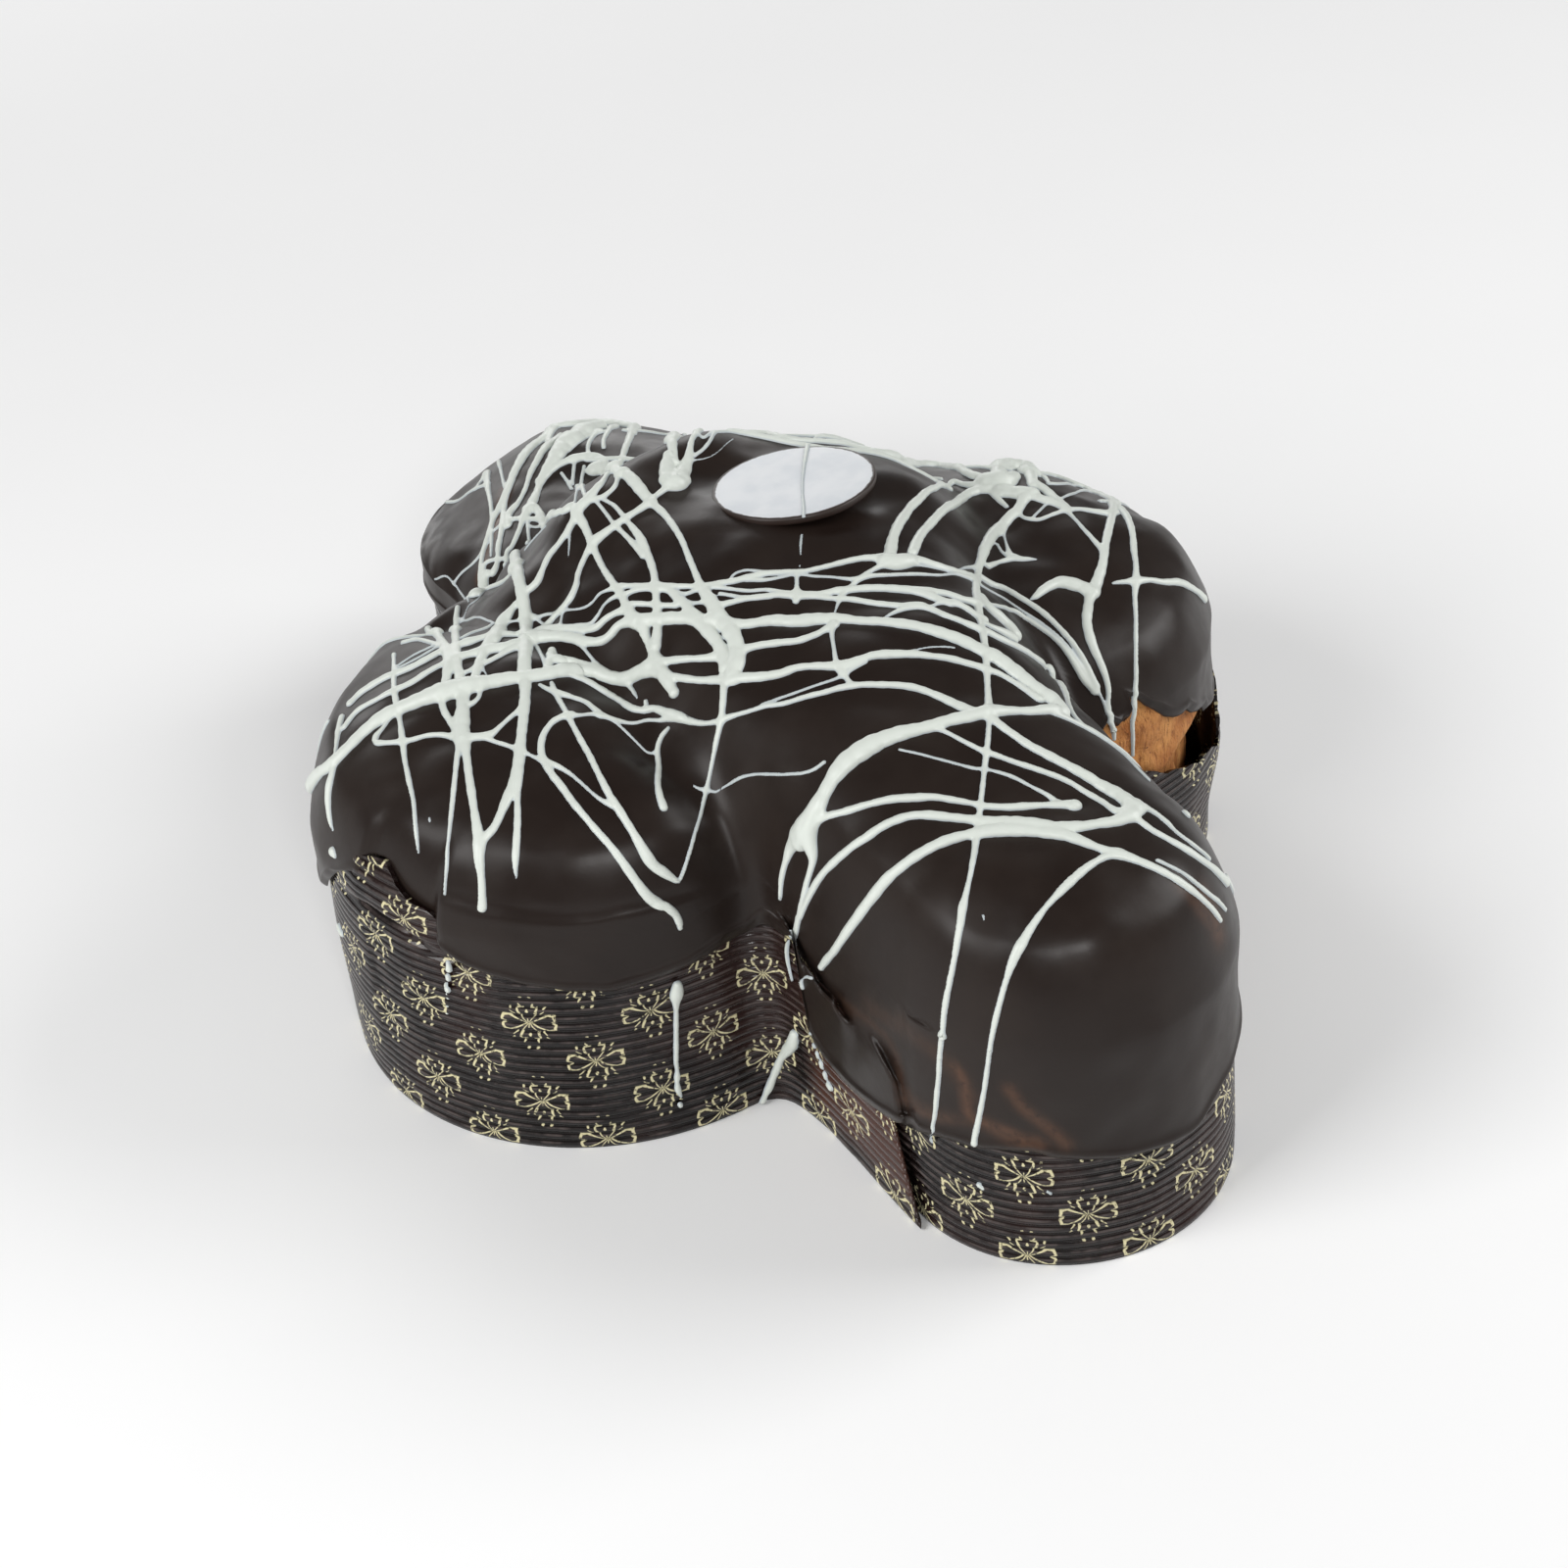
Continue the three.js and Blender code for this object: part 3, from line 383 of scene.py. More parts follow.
TAIL_SEEN = (
    ((16, 13, 12, 12, 14, 15, 17, 21, 22, 18, 15, 15, 18, 23, 27, 22), ((1009, 727), (992, 731), (972, 735),
     (952, 741), (932, 746), (913, 751), (895, 758), (879, 767), (864, 778), (852, 792), (843, 807),
     (836, 821), (829, 835), (823, 847), (817, 857))),
    ((22, 14, 9, 8, 6, 5, 4), ((817, 852), (808, 864), (803, 876), (799, 890), (797, 904), (796, 917))),
    ((22, 15, 9, 7, 6, 5, 6, 5, 4), ((824, 850), (828, 863), (830, 876), (827, 889), (823, 902), (819, 917),
     (816, 933), (813, 947), (810, 956))),
    ((5, 4, 4, 3, 2.5), ((810, 956), (805, 959), (803, 969), (804, 981), (806, 991), (808, 1000))),
    ((4,), ((819, 1007), (818, 1001), (823, 997), (829, 998))),
    ((4, 4, 4, 4, 4, 4, 4, 4, 3, 3, 4, 4, 3), ((841, 778), (831, 785), (818, 789), (803, 790), (788, 790),
     (773, 790), (760, 792), (749, 797), (739, 803), (730, 808), (722, 806), (714, 805), (708, 802))),
    ((10, 8, 8, 8, 8, 9, 9, 8, 7, 6, 7, 8, 8, 7, 8, 10, 13), ((835, 836), (850, 831), (866, 827),
     (882, 822), (898, 818), (917, 815), (937, 814), (957, 814), (975, 817), (992, 820), (1008, 823),
     (1028, 824), (1048, 823), (1066, 822), (1080, 822), (1090, 822), (1096, 823))),
    ((5, 5, 6, 8, 8, 9, 9, 9, 9, 9, 9, 10, 9, 10, 12, 14, 14, 12, 11, 10, 12, 16, 18), ((812, 950),
     (817, 936), (823, 921), (831, 905), (841, 890), (853, 878), (867, 866), (882, 856), (898, 845),
     (912, 838), (928, 833), (946, 832), (966, 834), (986, 836), (1004, 838), (1022, 840), (1042, 841),
     (1062, 843), (1082, 845), (1102, 844), (1122, 841), (1140, 838), (1153, 832), (1158, 825))),
    ((8, 9, 10, 11, 12, 12, 11, 11, 11, 11, 11, 13, 14, 13, 12, 12, 11, 9, 9, 11, 9, 8, 8, 8, 7, 6, 6, 5),
     ((838, 987), (848, 974), (859, 959), (870, 943), (883, 925), (897, 907), (913, 890), (930, 877),
     (948, 866), (966, 858), (984, 853), (1003, 850), (1023, 848), (1043, 848), (1063, 850), (1082, 852),
     (1099, 857), (1114, 863), (1128, 868), (1142, 872), (1157, 877), (1172, 883), (1187, 890), (1201, 898),
     (1214, 907), (1226, 917), (1237, 928), (1245, 939))),
    ((8, 8, 8, 9, 10, 10, 8, 7, 8, 9, 11, 12, 10, 8, 7, 7, 7, 6, 6, 6, 6, 7, 7, 7), ((1142, 871),
     (1127, 875), (1114, 882), (1102, 891), (1090, 902), (1078, 914), (1067, 926), (1058, 938), (1050, 950),
     (1043, 962), (1036, 975), (1030, 990), (1025, 1006), (1020, 1024), (1015, 1044), (1011, 1064),
     (1008, 1086), (1005, 1108), (1001, 1130), (997, 1150), (994, 1167))),
    ((8, 8, 8, 9, 9, 9, 10, 11, 12, 14, 18), ((1011, 732), (1024, 743), (1037, 752), (1052, 762),
     (1069, 771), (1086, 780), (1101, 788), (1116, 797), (1131, 806), (1146, 815), (1157, 825))),
    ((20, 16), ((1158, 824), (1152, 833))),
    ((5, 5, 5, 6, 6, 6, 6, 6, 6, 6, 6, 7, 10), ((957, 744), (971, 750), (986, 758), (1002, 766),
     (1014, 770), (1030, 776), (1048, 782), (1066, 788), (1082, 794), (1096, 801), (1110, 810), (1124, 818),
     (1137, 827), (1148, 830))),
    ((3, 3, 3, 3, 3, 4, 3, 4, 4, 4, 5, 6), ((918, 765), (932, 768), (948, 772), (963, 776), (978, 780),
     (993, 784), (1006, 785), (1022, 789), (1038, 795), (1053, 803), (1068, 811), (1080, 819))),
    ((6, 5, 5, 4, 4, 4, 4), ((1168, 824), (1180, 831), (1191, 840), (1201, 850), (1213, 859), (1223, 867),
     (1233, 876))),
    ((7, 6, 6, 7, 7, 7, 8), ((1160, 836), (1175, 847), (1189, 855), (1203, 863), (1216, 871), (1229, 880),
     (1241, 890), (1250, 900))),
    ((4, 4, 4, 5, 5, 5, 4), ((1181, 878), (1194, 884), (1207, 891), (1220, 901), (1232, 911), (1243, 920),
     (1250, 928))),
)
HEAD_SEEN = (
    ((7, 7, 8, 9, 7, 6, 6, 5, 5, 5, 6), ((566, 437), (556, 446), (544, 456), (532, 470), (524, 485),
     (518, 500), (511, 515), (504, 530), (499, 545), (494, 562), (491, 580), (491, 597))),
    ((6, 6, 6, 6, 6, 5, 7, 9, 10), ((521, 492), (516, 508), (514, 525), (512, 542), (509, 558), (508, 572),
     (504, 584), (495, 595), (486, 607))),
    ((9, 6, 5, 4, 4, 3), ((497, 484), (498, 498), (501, 514), (502, 531), (502, 549), (501, 567))),
    ((3,), ((494, 487), (490, 493), (486, 499))),
    ((4,), ((509, 471), (512, 484), (515, 497))),
    ((6, 8, 7, 6, 5, 5, 8, 8), ((572, 445), (560, 455), (549, 469), (541, 484), (536, 499), (529, 513),
     (520, 525), (519, 536))),
    ((12, 15, 17, 16, 13, 9, 7, 9, 10, 8), ((610, 438), (592, 444), (577, 454), (567, 467), (558, 481),
     (551, 494), (546, 507), (541, 518), (535, 529))),
    ((6, 5, 5, 4), ((534, 529), (529, 544), (523, 557), (517, 567), (514, 577))),
    ((8, 7, 7, 9, 6, 6, 10, 15, 14), ((551, 491), (562, 480), (576, 472), (590, 468), (603, 465),
     (613, 467), (616, 473), (612, 478), (608, 480))),
    ((5,), ((601, 466), (600, 456), (605, 446), (612, 440))),
    ((10, 9, 6, 8, 8), ((539, 520), (551, 525), (562, 526), (574, 522), (584, 517), (590, 520))),
    ((4,), ((573, 483), (578, 490), (583, 499))),
    ((4,), ((586, 473), (585, 483), (584, 494))),
    ((4,), ((596, 476), (594, 486), (593, 494))),
    ((4,), ((539, 530), (539, 542), (539, 554))),
    ((2.6,), ((541, 537), (548, 538), (555, 535))),
    ((2.6,), ((444, 591), (455, 588), (464, 597), (471, 606), (478, 614))),
    ((2.6,), ((464, 594), (472, 584), (484, 574), (492, 564), (498, 554))),
    ((5, 5, 6), ((616, 457), (616, 449), (620, 441), (628, 436))),
    ((8, 8, 6), ((648, 437), (642, 448), (638, 458), (633, 473))),
    ((7,), ((566, 437), (585, 434), (606, 432), (625, 433), (643, 436))),
    ((2.6,), ((581, 460), (590, 452), (600, 446), (620, 440))),
    ((4,), ((494, 584), (496, 575), (506, 571), (517, 570))),
    ((2.6,), ((505, 541), (511, 536))),
    ((2,), ((557, 537), (546, 549), (536, 561))),
)
DRIPS_SEEN = (
    ((10, 14, 13, 8, 5.5, 6, 5.5, 6, 5, 6, 5, 6, 4, 7, 5, 7, 3), ((691, 1005), (691, 1010), (690, 1017),
     (690, 1024), (690, 1032), (690, 1041), (690, 1050), (690, 1058), (690, 1067), (690, 1076), (690, 1084),
     (691, 1092), (691, 1099), (691, 1105), (692, 1112), (695, 1119))),
    ((6,), ((694, 1127), (694.5, 1128))),
    ((10, 14, 13, 9, 8, 9, 7, 9, 6, 7), ((811, 1056), (809, 1064), (803, 1072), (797, 1080), (793, 1090),
     (789, 1099), (785, 1109), (781, 1117), (777, 1127))),
    ((4, 6, 7), ((457, 982), (458, 986), (458, 989))),
    ((5,), ((457, 996), (457.5, 999))),
    ((5,), ((457, 1006), (457.5, 1009))),
    ((5,), ((457, 1014), (457.5, 1017))),
    ((4.5,), ((456.5, 1023), (457, 1026))),
    ((4.5,), ((456.5, 1032), (457, 1035))),
    ((3,), ((827, 1054), (828, 1057))),
    ((3,), ((830, 1065), (831, 1068))),
    ((3.4,), ((834, 1075), (835, 1078))),
    ((3.8,), ((838, 1085), (839, 1088))),
    ((4,), ((842, 1096), (843, 1099))),
    ((5,), ((846, 1107), (848, 1110))),
    ((3,), ((1003, 934), (1004, 938))),
    ((4.5,), ((999, 1209), (1003, 1212))),
    ((3,), ((1069, 1216), (1072, 1218))),
    ((3,), ((438, 835), (438.5, 838))),
    ((5,), ((1209, 830), (1211, 832))),
)

# White drizzle on the far side, with widths in millimetres and points on the flattened plan, on which the
# shoulder and the wall lie outside the crest
HIDDEN_DRIZZLE = (
    ((1.6, 1.2), ((-66, 50), (-74, 56), (-84, 58), (-96, 62))),
    ((1.4, 1.0), ((-97, 38), (-104, 48), (-112, 60))),
    ((2.0, 1.6), ((-39, 57), (-48, 68), (-52, 82))),
    ((2.5, 2.3), ((20, 52), (30, 42), (42, 34), (52, 27), (60, 20))),
    ((1.6, 1.4), ((24, 60), (40, 48), (52, 40), (64, 30))),
    ((1.6, 1.2), ((78, 28), (90, 34), (104, 36), (118, 40))),
    ((1.4, 1.0), ((91, 2), (101, 8), (112, 12), (123, 11))),
    ((1.2, 1.6), ((60, 44), (66, 55), (74, 64), (84, 72))),
    ((2.0,), ((74, 40), (77, 30), (78, 25))),
    ((1.8,), ((85, 30), (80, 24))),
    ((1.6, 1.2), ((37, -121), (45, -124), (54, -130))),
    ((1.6, 1.3), ((23, -78), (32, -84), (40, -92), (46, -104), (52, -112))),
    ((1.8, 1.4), ((-12, 60), (-16, 70), (-19, 82), (-24, 92))),
    ((1.6, 2.0), ((20, 58), (17, 70), (12, 82), (10, 91))),
    ((1.4, 1.8), ((36, 52), (30, 64), (22, 78), (14, 92), (4, 101))),
    ((1.5, 1.2), ((20, 112), (30, 108), (42, 100), (54, 96))),
    ((1.7, 1.3), ((2, 120), (10, 132), (16, 146))),
    ((1.3, 1.6), ((21, 108), (28, 122), (34, 136))),
    ((1.2,), ((-18, 115), (-22, 128), (-24, 142))),
)
# The coating's torn edge over the bread, and its ledge over the rim of the paper on the left wing
TORN_EDGE_SEEN = (
    (1127, 738), (1133, 733), (1139, 736), (1143, 739), (1149, 731), (1153, 733), (1155, 728), (1152, 714),
    (1149, 701), (1154, 706), (1159, 713), (1165, 711), (1172, 717), (1178, 720), (1184, 722), (1191, 728),
    (1203, 729), (1209, 726), (1213, 720), (1218, 724), (1225, 722), (1230, 717),
)
LEDGE_SEEN = ((456, 916), (492, 927), (534, 934), (565, 938), (600, 937), (640, 930), (675, 922), (700, 916))

# Paler brown streaks where the coating is thin, and painted highlights of soft sheen on the head and along
# the tail's right edge: half width in millimetres, strength, and points
STREAKS_AND_SHEEN_SEEN = (
    (1.4, 0.65, ((976, 1090), (984, 1106), (986, 1122), (988, 1136), (1001, 1146), (1018, 1151),
     (1036, 1158), (1046, 1166))),
    (1.5, 0.5, ((1030, 1112), (1040, 1127), (1056, 1141), (1072, 1153), (1088, 1168))),
    (1.4, 0.4, ((922, 1122), (936, 1133), (952, 1139), (968, 1142))),
    (1.8, 0.5, ((1004, 1146), (1030, 1160), (1060, 1167))),
    (1.6, 0.25, ((851, 1021), (885, 1040), (909, 1064), (918, 1090), (923, 1114), (950, 1135),
     (994, 1146))),
    (2.4, 0.2, ((887, 1028), (930, 1055), (973, 1093), (990, 1120))),
    # Painted highlight: soft sheen on the head's top left
    (1.6, 0.9, ((516, 498), (508, 530), (498, 560), (489, 590))),
    # Painted highlights: sheen along the tail's right edge
    (3.0, 0.55, ((1228, 915), (1238, 932), (1244, 950))),
    (1.5, 0.4, ((1205, 905), (1222, 925), (1236, 945))),
)
PLAQUE_DRIZZLE = (
    ((5, 5, 4, 3.4, 3.4, 4, 4), ((824, 455), (822, 466), (820, 479), (819, 492), (819, 505), (820, 517),
     (820, 527))),
)


def smooth(low, high, value):
    """From 0 at low to 1 at high, level at both ends."""
    part = np.clip((value - low) / (high - low), 0, 1)
    return part * part * (3 - 2 * part)


def mix(first, second, share):
    """From the first at share 0 to the second at share 1."""
    return first + (second - first) * share


def to_segment(x, y, start, end):
    """Distance to a line segment, and how far along it the nearest point is."""
    across, up = end[0] - start[0], end[1] - start[1]
    along = ((x - start[0]) * across + (y - start[1]) * up) / (across * across + up * up)
    along = np.clip(along, 0, 1)
    return np.hypot(x - start[0] - along * across, y - start[1] - along * up), along


def outside(x, y):
    """Distance outside the case's outline, below zero inside it."""
    total = 0
    for root, tip, root_radius, tip_radius in ARMS:
        distance, along = to_segment(x, y, root, tip)
        total = total + np.exp((mix(root_radius, tip_radius, along) - distance) / OUTLINE_BLEND)
    return -OUTLINE_BLEND * np.log(total)


def swell(distance, width):
    """A soft hump: 1 at no distance, fading over a width."""
    return np.exp(-((distance / width) ** 2))


OUTLINE_ANGLES = 7201
OUTLINE_RANGE = (20.0, 220.0)
OUTLINE_HALVINGS = 34


def outline_table():
    """Even angles, the outline's radius there, and how much longer a step outwards is along the radius."""
    angle = np.linspace(-np.pi, np.pi, OUTLINE_ANGLES)
    cosine, sine = np.cos(angle), np.sin(angle)
    low, high = (np.full(OUTLINE_ANGLES, limit) for limit in OUTLINE_RANGE)
    for _ in range(OUTLINE_HALVINGS):
        middle = (low + high) / 2
        inside = outside(middle * cosine, middle * sine) < 0
        low, high = np.where(inside, middle, low), np.where(inside, high, middle)
    radius = (low + high) / 2
    x, y, small = radius * cosine, radius * sine, 0.3
    slope_x = outside(x + small, y) - outside(x - small, y)
    slope_y = outside(x, y + small) - outside(x, y - small)
    size = np.hypot(slope_x, slope_y)
    stretch = size / (slope_x * cosine + slope_y * sine)
    return angle, radius, stretch


ANGLE_TABLE, RADIUS_TABLE, STRETCH_TABLE = outline_table()
STEP_TABLE = np.hypot(
    np.diff(RADIUS_TABLE * np.cos(ANGLE_TABLE)), np.diff(RADIUS_TABLE * np.sin(ANGLE_TABLE))
)
LENGTH_TABLE = np.concatenate([[0], np.cumsum(STEP_TABLE)])
PERIMETER = LENGTH_TABLE[-1]


def outline_radius(angle):
    """Distance from the axis to the outline."""
    return np.interp(angle, ANGLE_TABLE, RADIUS_TABLE)


def outline_stretch(angle):
    """How much longer a step outwards is along the radius."""
    return np.interp(angle, ANGLE_TABLE, STRETCH_TABLE)


def length_at(angle):
    """Length along the outline from -180 degrees to an angle."""
    return np.interp(angle, ANGLE_TABLE, LENGTH_TABLE)


def angle_at(length):
    """Angle at a length along the outline, which begins at -180 degrees."""
    return np.interp(np.mod(length, PERIMETER), LENGTH_TABLE, ANGLE_TABLE)


def even_angles(count):
    """Angles at even lengths along the outline."""
    return angle_at(PERIMETER * np.arange(count) / count)


def around(knots, angle):
    """A smooth value round the cake through pairs of degrees and value, which doesn't overshoot."""
    turned = [(degrees + 360, value) for degrees, value in knots[:2]]
    knots = [(knots[-1][0] - 360, knots[-1][1]), *knots, *turned]
    place, value = np.array(knots, float).T
    step = np.diff(place)
    slope = np.diff(value) / step
    product = slope[:-1] * slope[1:]
    total = slope[:-1] + slope[1:]
    tangent = np.zeros(len(place))
    tangent[1:-1] = np.where(product > 0, 2 * product / np.where(total == 0, 1, total), 0)
    degrees = np.degrees(angle)
    i = np.clip(np.searchsorted(place, degrees, "right") - 1, 0, len(step) - 1)
    t = (degrees - place[i]) / step[i]
    return (
        value[i] * (1 + 2 * t) * (1 - t) ** 2
        + value[i + 1] * t * t * (3 - 2 * t)
        + tangent[i] * step[i] * t * (1 - t) ** 2
        + tangent[i + 1] * step[i] * t * t * (t - 1)
    )


def waves(seed, count, shortest, longest, height):
    """Random level waves: direction, length and phase of each, with their total height."""
    draw = np.random.default_rng(seed)
    length = np.exp(draw.uniform(np.log(shortest), np.log(longest), count))
    heading = draw.uniform(0, np.pi, count)
    phase = draw.uniform(0, 2 * np.pi, count)
    share = length / np.sqrt(np.sum(length ** 2) / 2)
    return np.cos(heading) / length, np.sin(heading) / length, phase, share * height


def ripple(x, y, parts):
    """Sum of level waves at each place."""
    total = 0
    for east, north, phase, height in zip(*parts):
        total = total + height * np.sin(2 * np.pi * (east * x + north * y) + phase)
    return total


# Slow waves of the coating's skin with finer ones, and those of the paper, the bread and torn edges
COAT_WAVES = np.hstack([waves(11, 22, 14, 60, 0.42), waves(15, 30, 6, 15, 0.09)])
PAPER_WAVES = waves(12, 14, 18, 70, 0.22)
CRUST_WAVES = waves(13, 30, 4, 24, 0.5)
EDGE_WAVES = waves(14, 16, 3, 16, 0.5)


# Heights of the coating's small teeth and of the paper's torn edge, and relief where the skin is a wall
TEETH_HEIGHT = 0.25
TEAR_HEIGHT = 1.3
TEAR_SHIFT = 57
WALL_RELIEF = 0.6


def dome(x, y, offset):
    """Height of the dome above the rim."""
    total = 0
    for root, tip, root_radius, tip_radius, root_height, tip_height, fullness in LOAVES:
        distance, along = to_segment(x, y, root, tip)
        share = np.clip(distance / (mix(root_radius, tip_radius, along) * LOAF_STRETCH + LOAF_SPREAD), 0, 1)
        crest = mix(root_height, tip_height, along * along)
        total = total + np.exp(crest * np.sqrt(1 - share ** fullness) / CREST_BLEND)
    height = CREST_BLEND * np.log(total / CREST_SHARE)
    for start, end, depth, width in FOLDS + SETTLED:
        height = height - depth * swell(to_segment(x, y, start, end)[0], width)
    inset = np.clip((offset - outside(x, y)) / EDGE_ROUNDING, 0, 1)
    return np.maximum(height, 0) * np.sqrt(1 - (1 - inset) ** 2)


def rim_reach(angle, offset):
    """Reach on the flattened plan at which the wall begins."""
    return outline_radius(angle) + offset * outline_stretch(angle) - SHOULDER + SHOULDER * math.pi / 2


def lift(angle, reach, offset, lowered=0.0, relief=None):
    """Points of a skin, from a reach along each direction of the flattened plan."""
    radius = outline_radius(angle) + offset * outline_stretch(angle)
    rim = radius - SHOULDER + SHOULDER * math.pi / 2
    turn = np.clip((reach - radius + SHOULDER) / SHOULDER, 0, math.pi / 2)
    across = np.minimum(reach, radius - SHOULDER) + SHOULDER * np.sin(turn)
    x, y = across * np.cos(angle), across * np.sin(angle)
    height = dome(x, y, offset)
    drop = np.maximum(reach - rim, 0) + lowered * (1 - smooth(rim - 14, rim - 2, reach))
    z = RIM_HEIGHT + height - drop
    if relief is not None:
        bump = ripple(reach * np.cos(angle), reach * np.sin(angle), relief)
        wall = smooth(rim - 10, rim + 2, reach)
        z = z + bump * (1 - wall)
        across = across + WALL_RELIEF * bump * wall
        x, y = across * np.cos(angle), across * np.sin(angle)
    return np.stack(np.broadcast_arrays(x, y, z), -1)


def coat_edge(angle):
    """How far the coating runs down below the rim, with its small teeth."""
    length = length_at(angle)
    teeth = TEETH_HEIGHT * ripple(length, 0 * length, EDGE_WAVES)
    along, below = TORN_EDGE
    torn = (angle > along[0]) & (angle < along[-1])
    return np.where(torn, np.interp(angle, along, below), around(COAT_EDGE, angle) + teeth)


def coat_offset(angle):
    """How far the coating's wall stands outside the outline, below zero where it has slipped inside."""
    return mix(COAT_PROUD, COAT_TUCKED, around(COAT_TUCK, angle))


def paper_top(angle):
    """Height of the paper's top edge, torn a little where it has sagged."""
    length = length_at(angle)
    sag = around(PAPER_SAG, angle)
    torn = smooth(2, 14, sag)
    return CASE_RIM - sag + torn * TEAR_HEIGHT * ripple(length + TEAR_SHIFT, 0 * length, EDGE_WAVES)


def new_mesh(name, points, polygons):
    """An object from points in millimetres and lists of polygons of equal size."""
    mesh = bpy.data.meshes.new(name)
    corners = np.concatenate([np.asarray(p, np.int32).ravel() for p in polygons])
    sizes = np.concatenate([np.full(len(p), np.asarray(p).shape[1]) for p in polygons])
    starts = np.concatenate([[0], np.cumsum(sizes)[:-1]])
    mesh.vertices.add(len(points))
    mesh.vertices.foreach_set("co", (np.asarray(points) * MM).astype(np.float32).ravel())
    mesh.loops.add(len(corners))
    mesh.loops.foreach_set("vertex_index", corners)
    mesh.polygons.add(len(sizes))
    mesh.polygons.foreach_set("loop_start", starts.astype(np.int32))
    mesh.update(calc_edges=True)
    mesh.validate()
    mesh.polygons.foreach_set("use_smooth", np.ones(len(mesh.polygons), bool))
    piece = bpy.data.objects.new(name, mesh)
    bpy.context.scene.collection.objects.link(piece)
    return piece


def store(piece, name, values):
    """Keep one number or one vector for each vertex, for the material."""
    values = np.asarray(values, np.float32)
    kind, field = ("FLOAT", "value") if values.ndim == 1 else ("FLOAT_VECTOR", "vector")
    attribute = piece.data.attributes.new(name, kind, "POINT")
    attribute.data.foreach_set(field, values.ravel())


def ring_quads(rows, columns, closed=True, first=0):
    """Quads between rows of points, each row running round the cake."""
    steps = columns if closed else columns - 1
    row, column = np.meshgrid(np.arange(rows - 1), np.arange(steps), indexing="ij")
    after = (column + 1) % columns
    quads = np.stack([row * columns + column, (row + 1) * columns + column,
                      (row + 1) * columns + after, row * columns + after], -1)
    return quads.reshape(-1, 4) + first


def fan(centre, start, count, flipped=False):
    """Triangles from a centre point to a ring of points."""
    ring = start + np.arange(count)
    after = start + (np.arange(count) + 1) % count
    pair = (after, ring) if flipped else (ring, after)
    return np.stack([np.full(count, centre), *pair], -1)


def closed_skin(name, top, rings, bottom):
    """A closed mesh of rings of points with a single point above and below, and all its points."""
    count = len(rings[0])
    points = np.concatenate([top, *rings, bottom])
    last = 1 + (len(rings) - 1) * count
    caps = [fan(0, 1, count), fan(len(points) - 1, last, count, True)]
    return new_mesh(name, points, [ring_quads(len(rings), count, True, 1), *caps]), points


def polar(reach, angle, height):
    """Points at a distance from the axis, an angle and a height."""
    return np.stack(np.broadcast_arrays(reach * np.cos(angle), reach * np.sin(angle), height), -1)


def dress(piece, material):
    """Give a piece its material and slot, and let it ride the one body."""
    piece.data.materials.append(material)
    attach(piece, "root")
    return piece


# Coating
COAT_COLUMNS = 620
COAT_CREST_ROWS = 62
COAT_SHOULDER_ROWS = 24
COAT_SKIRT_ROWS = 24
COAT_LIP_ROWS = 7
COAT_INNER_ROWS = 26
COAT_DEPTH = COAT_THICKNESS + 0.4
BEAD_HEIGHT = 0.45
BEAD_WIDTH = 1.3
LEDGE_HEIGHT = 0.4
STREAK_AND_SHEEN_STEP = 0.8

# Heights over which the coating begins to cover the paper's loose end, and the lengths and the height
# within which it follows that end
COVERED = (38, 46)
LOOSE_LENGTHS = (90, 160)
LOOSE_HEIGHT = 70

# The pocket where the coated end of the paper stands off the tail's left wall, by angle and height
POCKET = ((-121.0, 54.5), (-118.6, 47.8), (-116.4, 45.6), (-113.6, 42.8))
POCKET_LIP = 1.9
POCKET_GAP = 2.6


def pocket(length, height):
    """A lip that stands off, with a narrow gap behind it."""
    along = [length_at(math.radians(degrees)) for degrees, _ in POCKET]
    above = height - np.interp(length, along, [level for _, level in POCKET])
    window = smooth(along[0] - 2, along[0] + 4, length) * (1 - smooth(along[-1] - 5, along[-1] + 3, length))
    lip = POCKET_LIP * np.exp(-np.maximum(-above, 0) / 9) * (1 - smooth(-0.5, 0.3, above))
    gap = POCKET_GAP * smooth(-0.4, 0.5, above) * swell(np.maximum(above, 0), 2.6)
    return (lip - gap) * window


def coat_bead(angle, reach):
    """The coating thickens into a small bead above its edge, and follows the loose end of the paper."""
    rim = rim_reach(angle, coat_offset(angle))
    edge = rim + coat_edge(angle)
    bead = BEAD_HEIGHT * swell(edge - reach - 1.0, BEAD_WIDTH)
    along, level = LEDGE
    past = reach - rim - np.interp(angle, along, level)
    begun = smooth(along[0] - 0.06, along[0] + 0.03, angle)
    ended = smooth(along[-1] - 0.05, along[-1] + 0.08, angle)
    step = swell(past - 1.4, 1.5) - swell(past + 0.7, 0.9)
    bead = bead + begun * (1 - ended) * LEDGE_HEIGHT * step
    length = length_at(angle)
    height = RIM_HEIGHT - (reach - rim)
    near = (length > LOOSE_LENGTHS[0]) & (length < LOOSE_LENGTHS[1]) & (height < LOOSE_HEIGHT)
    loose = flap_rise(length, height, 5.0) * smooth(COVERED[1] + 2, COVERED[0], height)
    return bead + np.where(near, loose + pocket(length, height), 0)


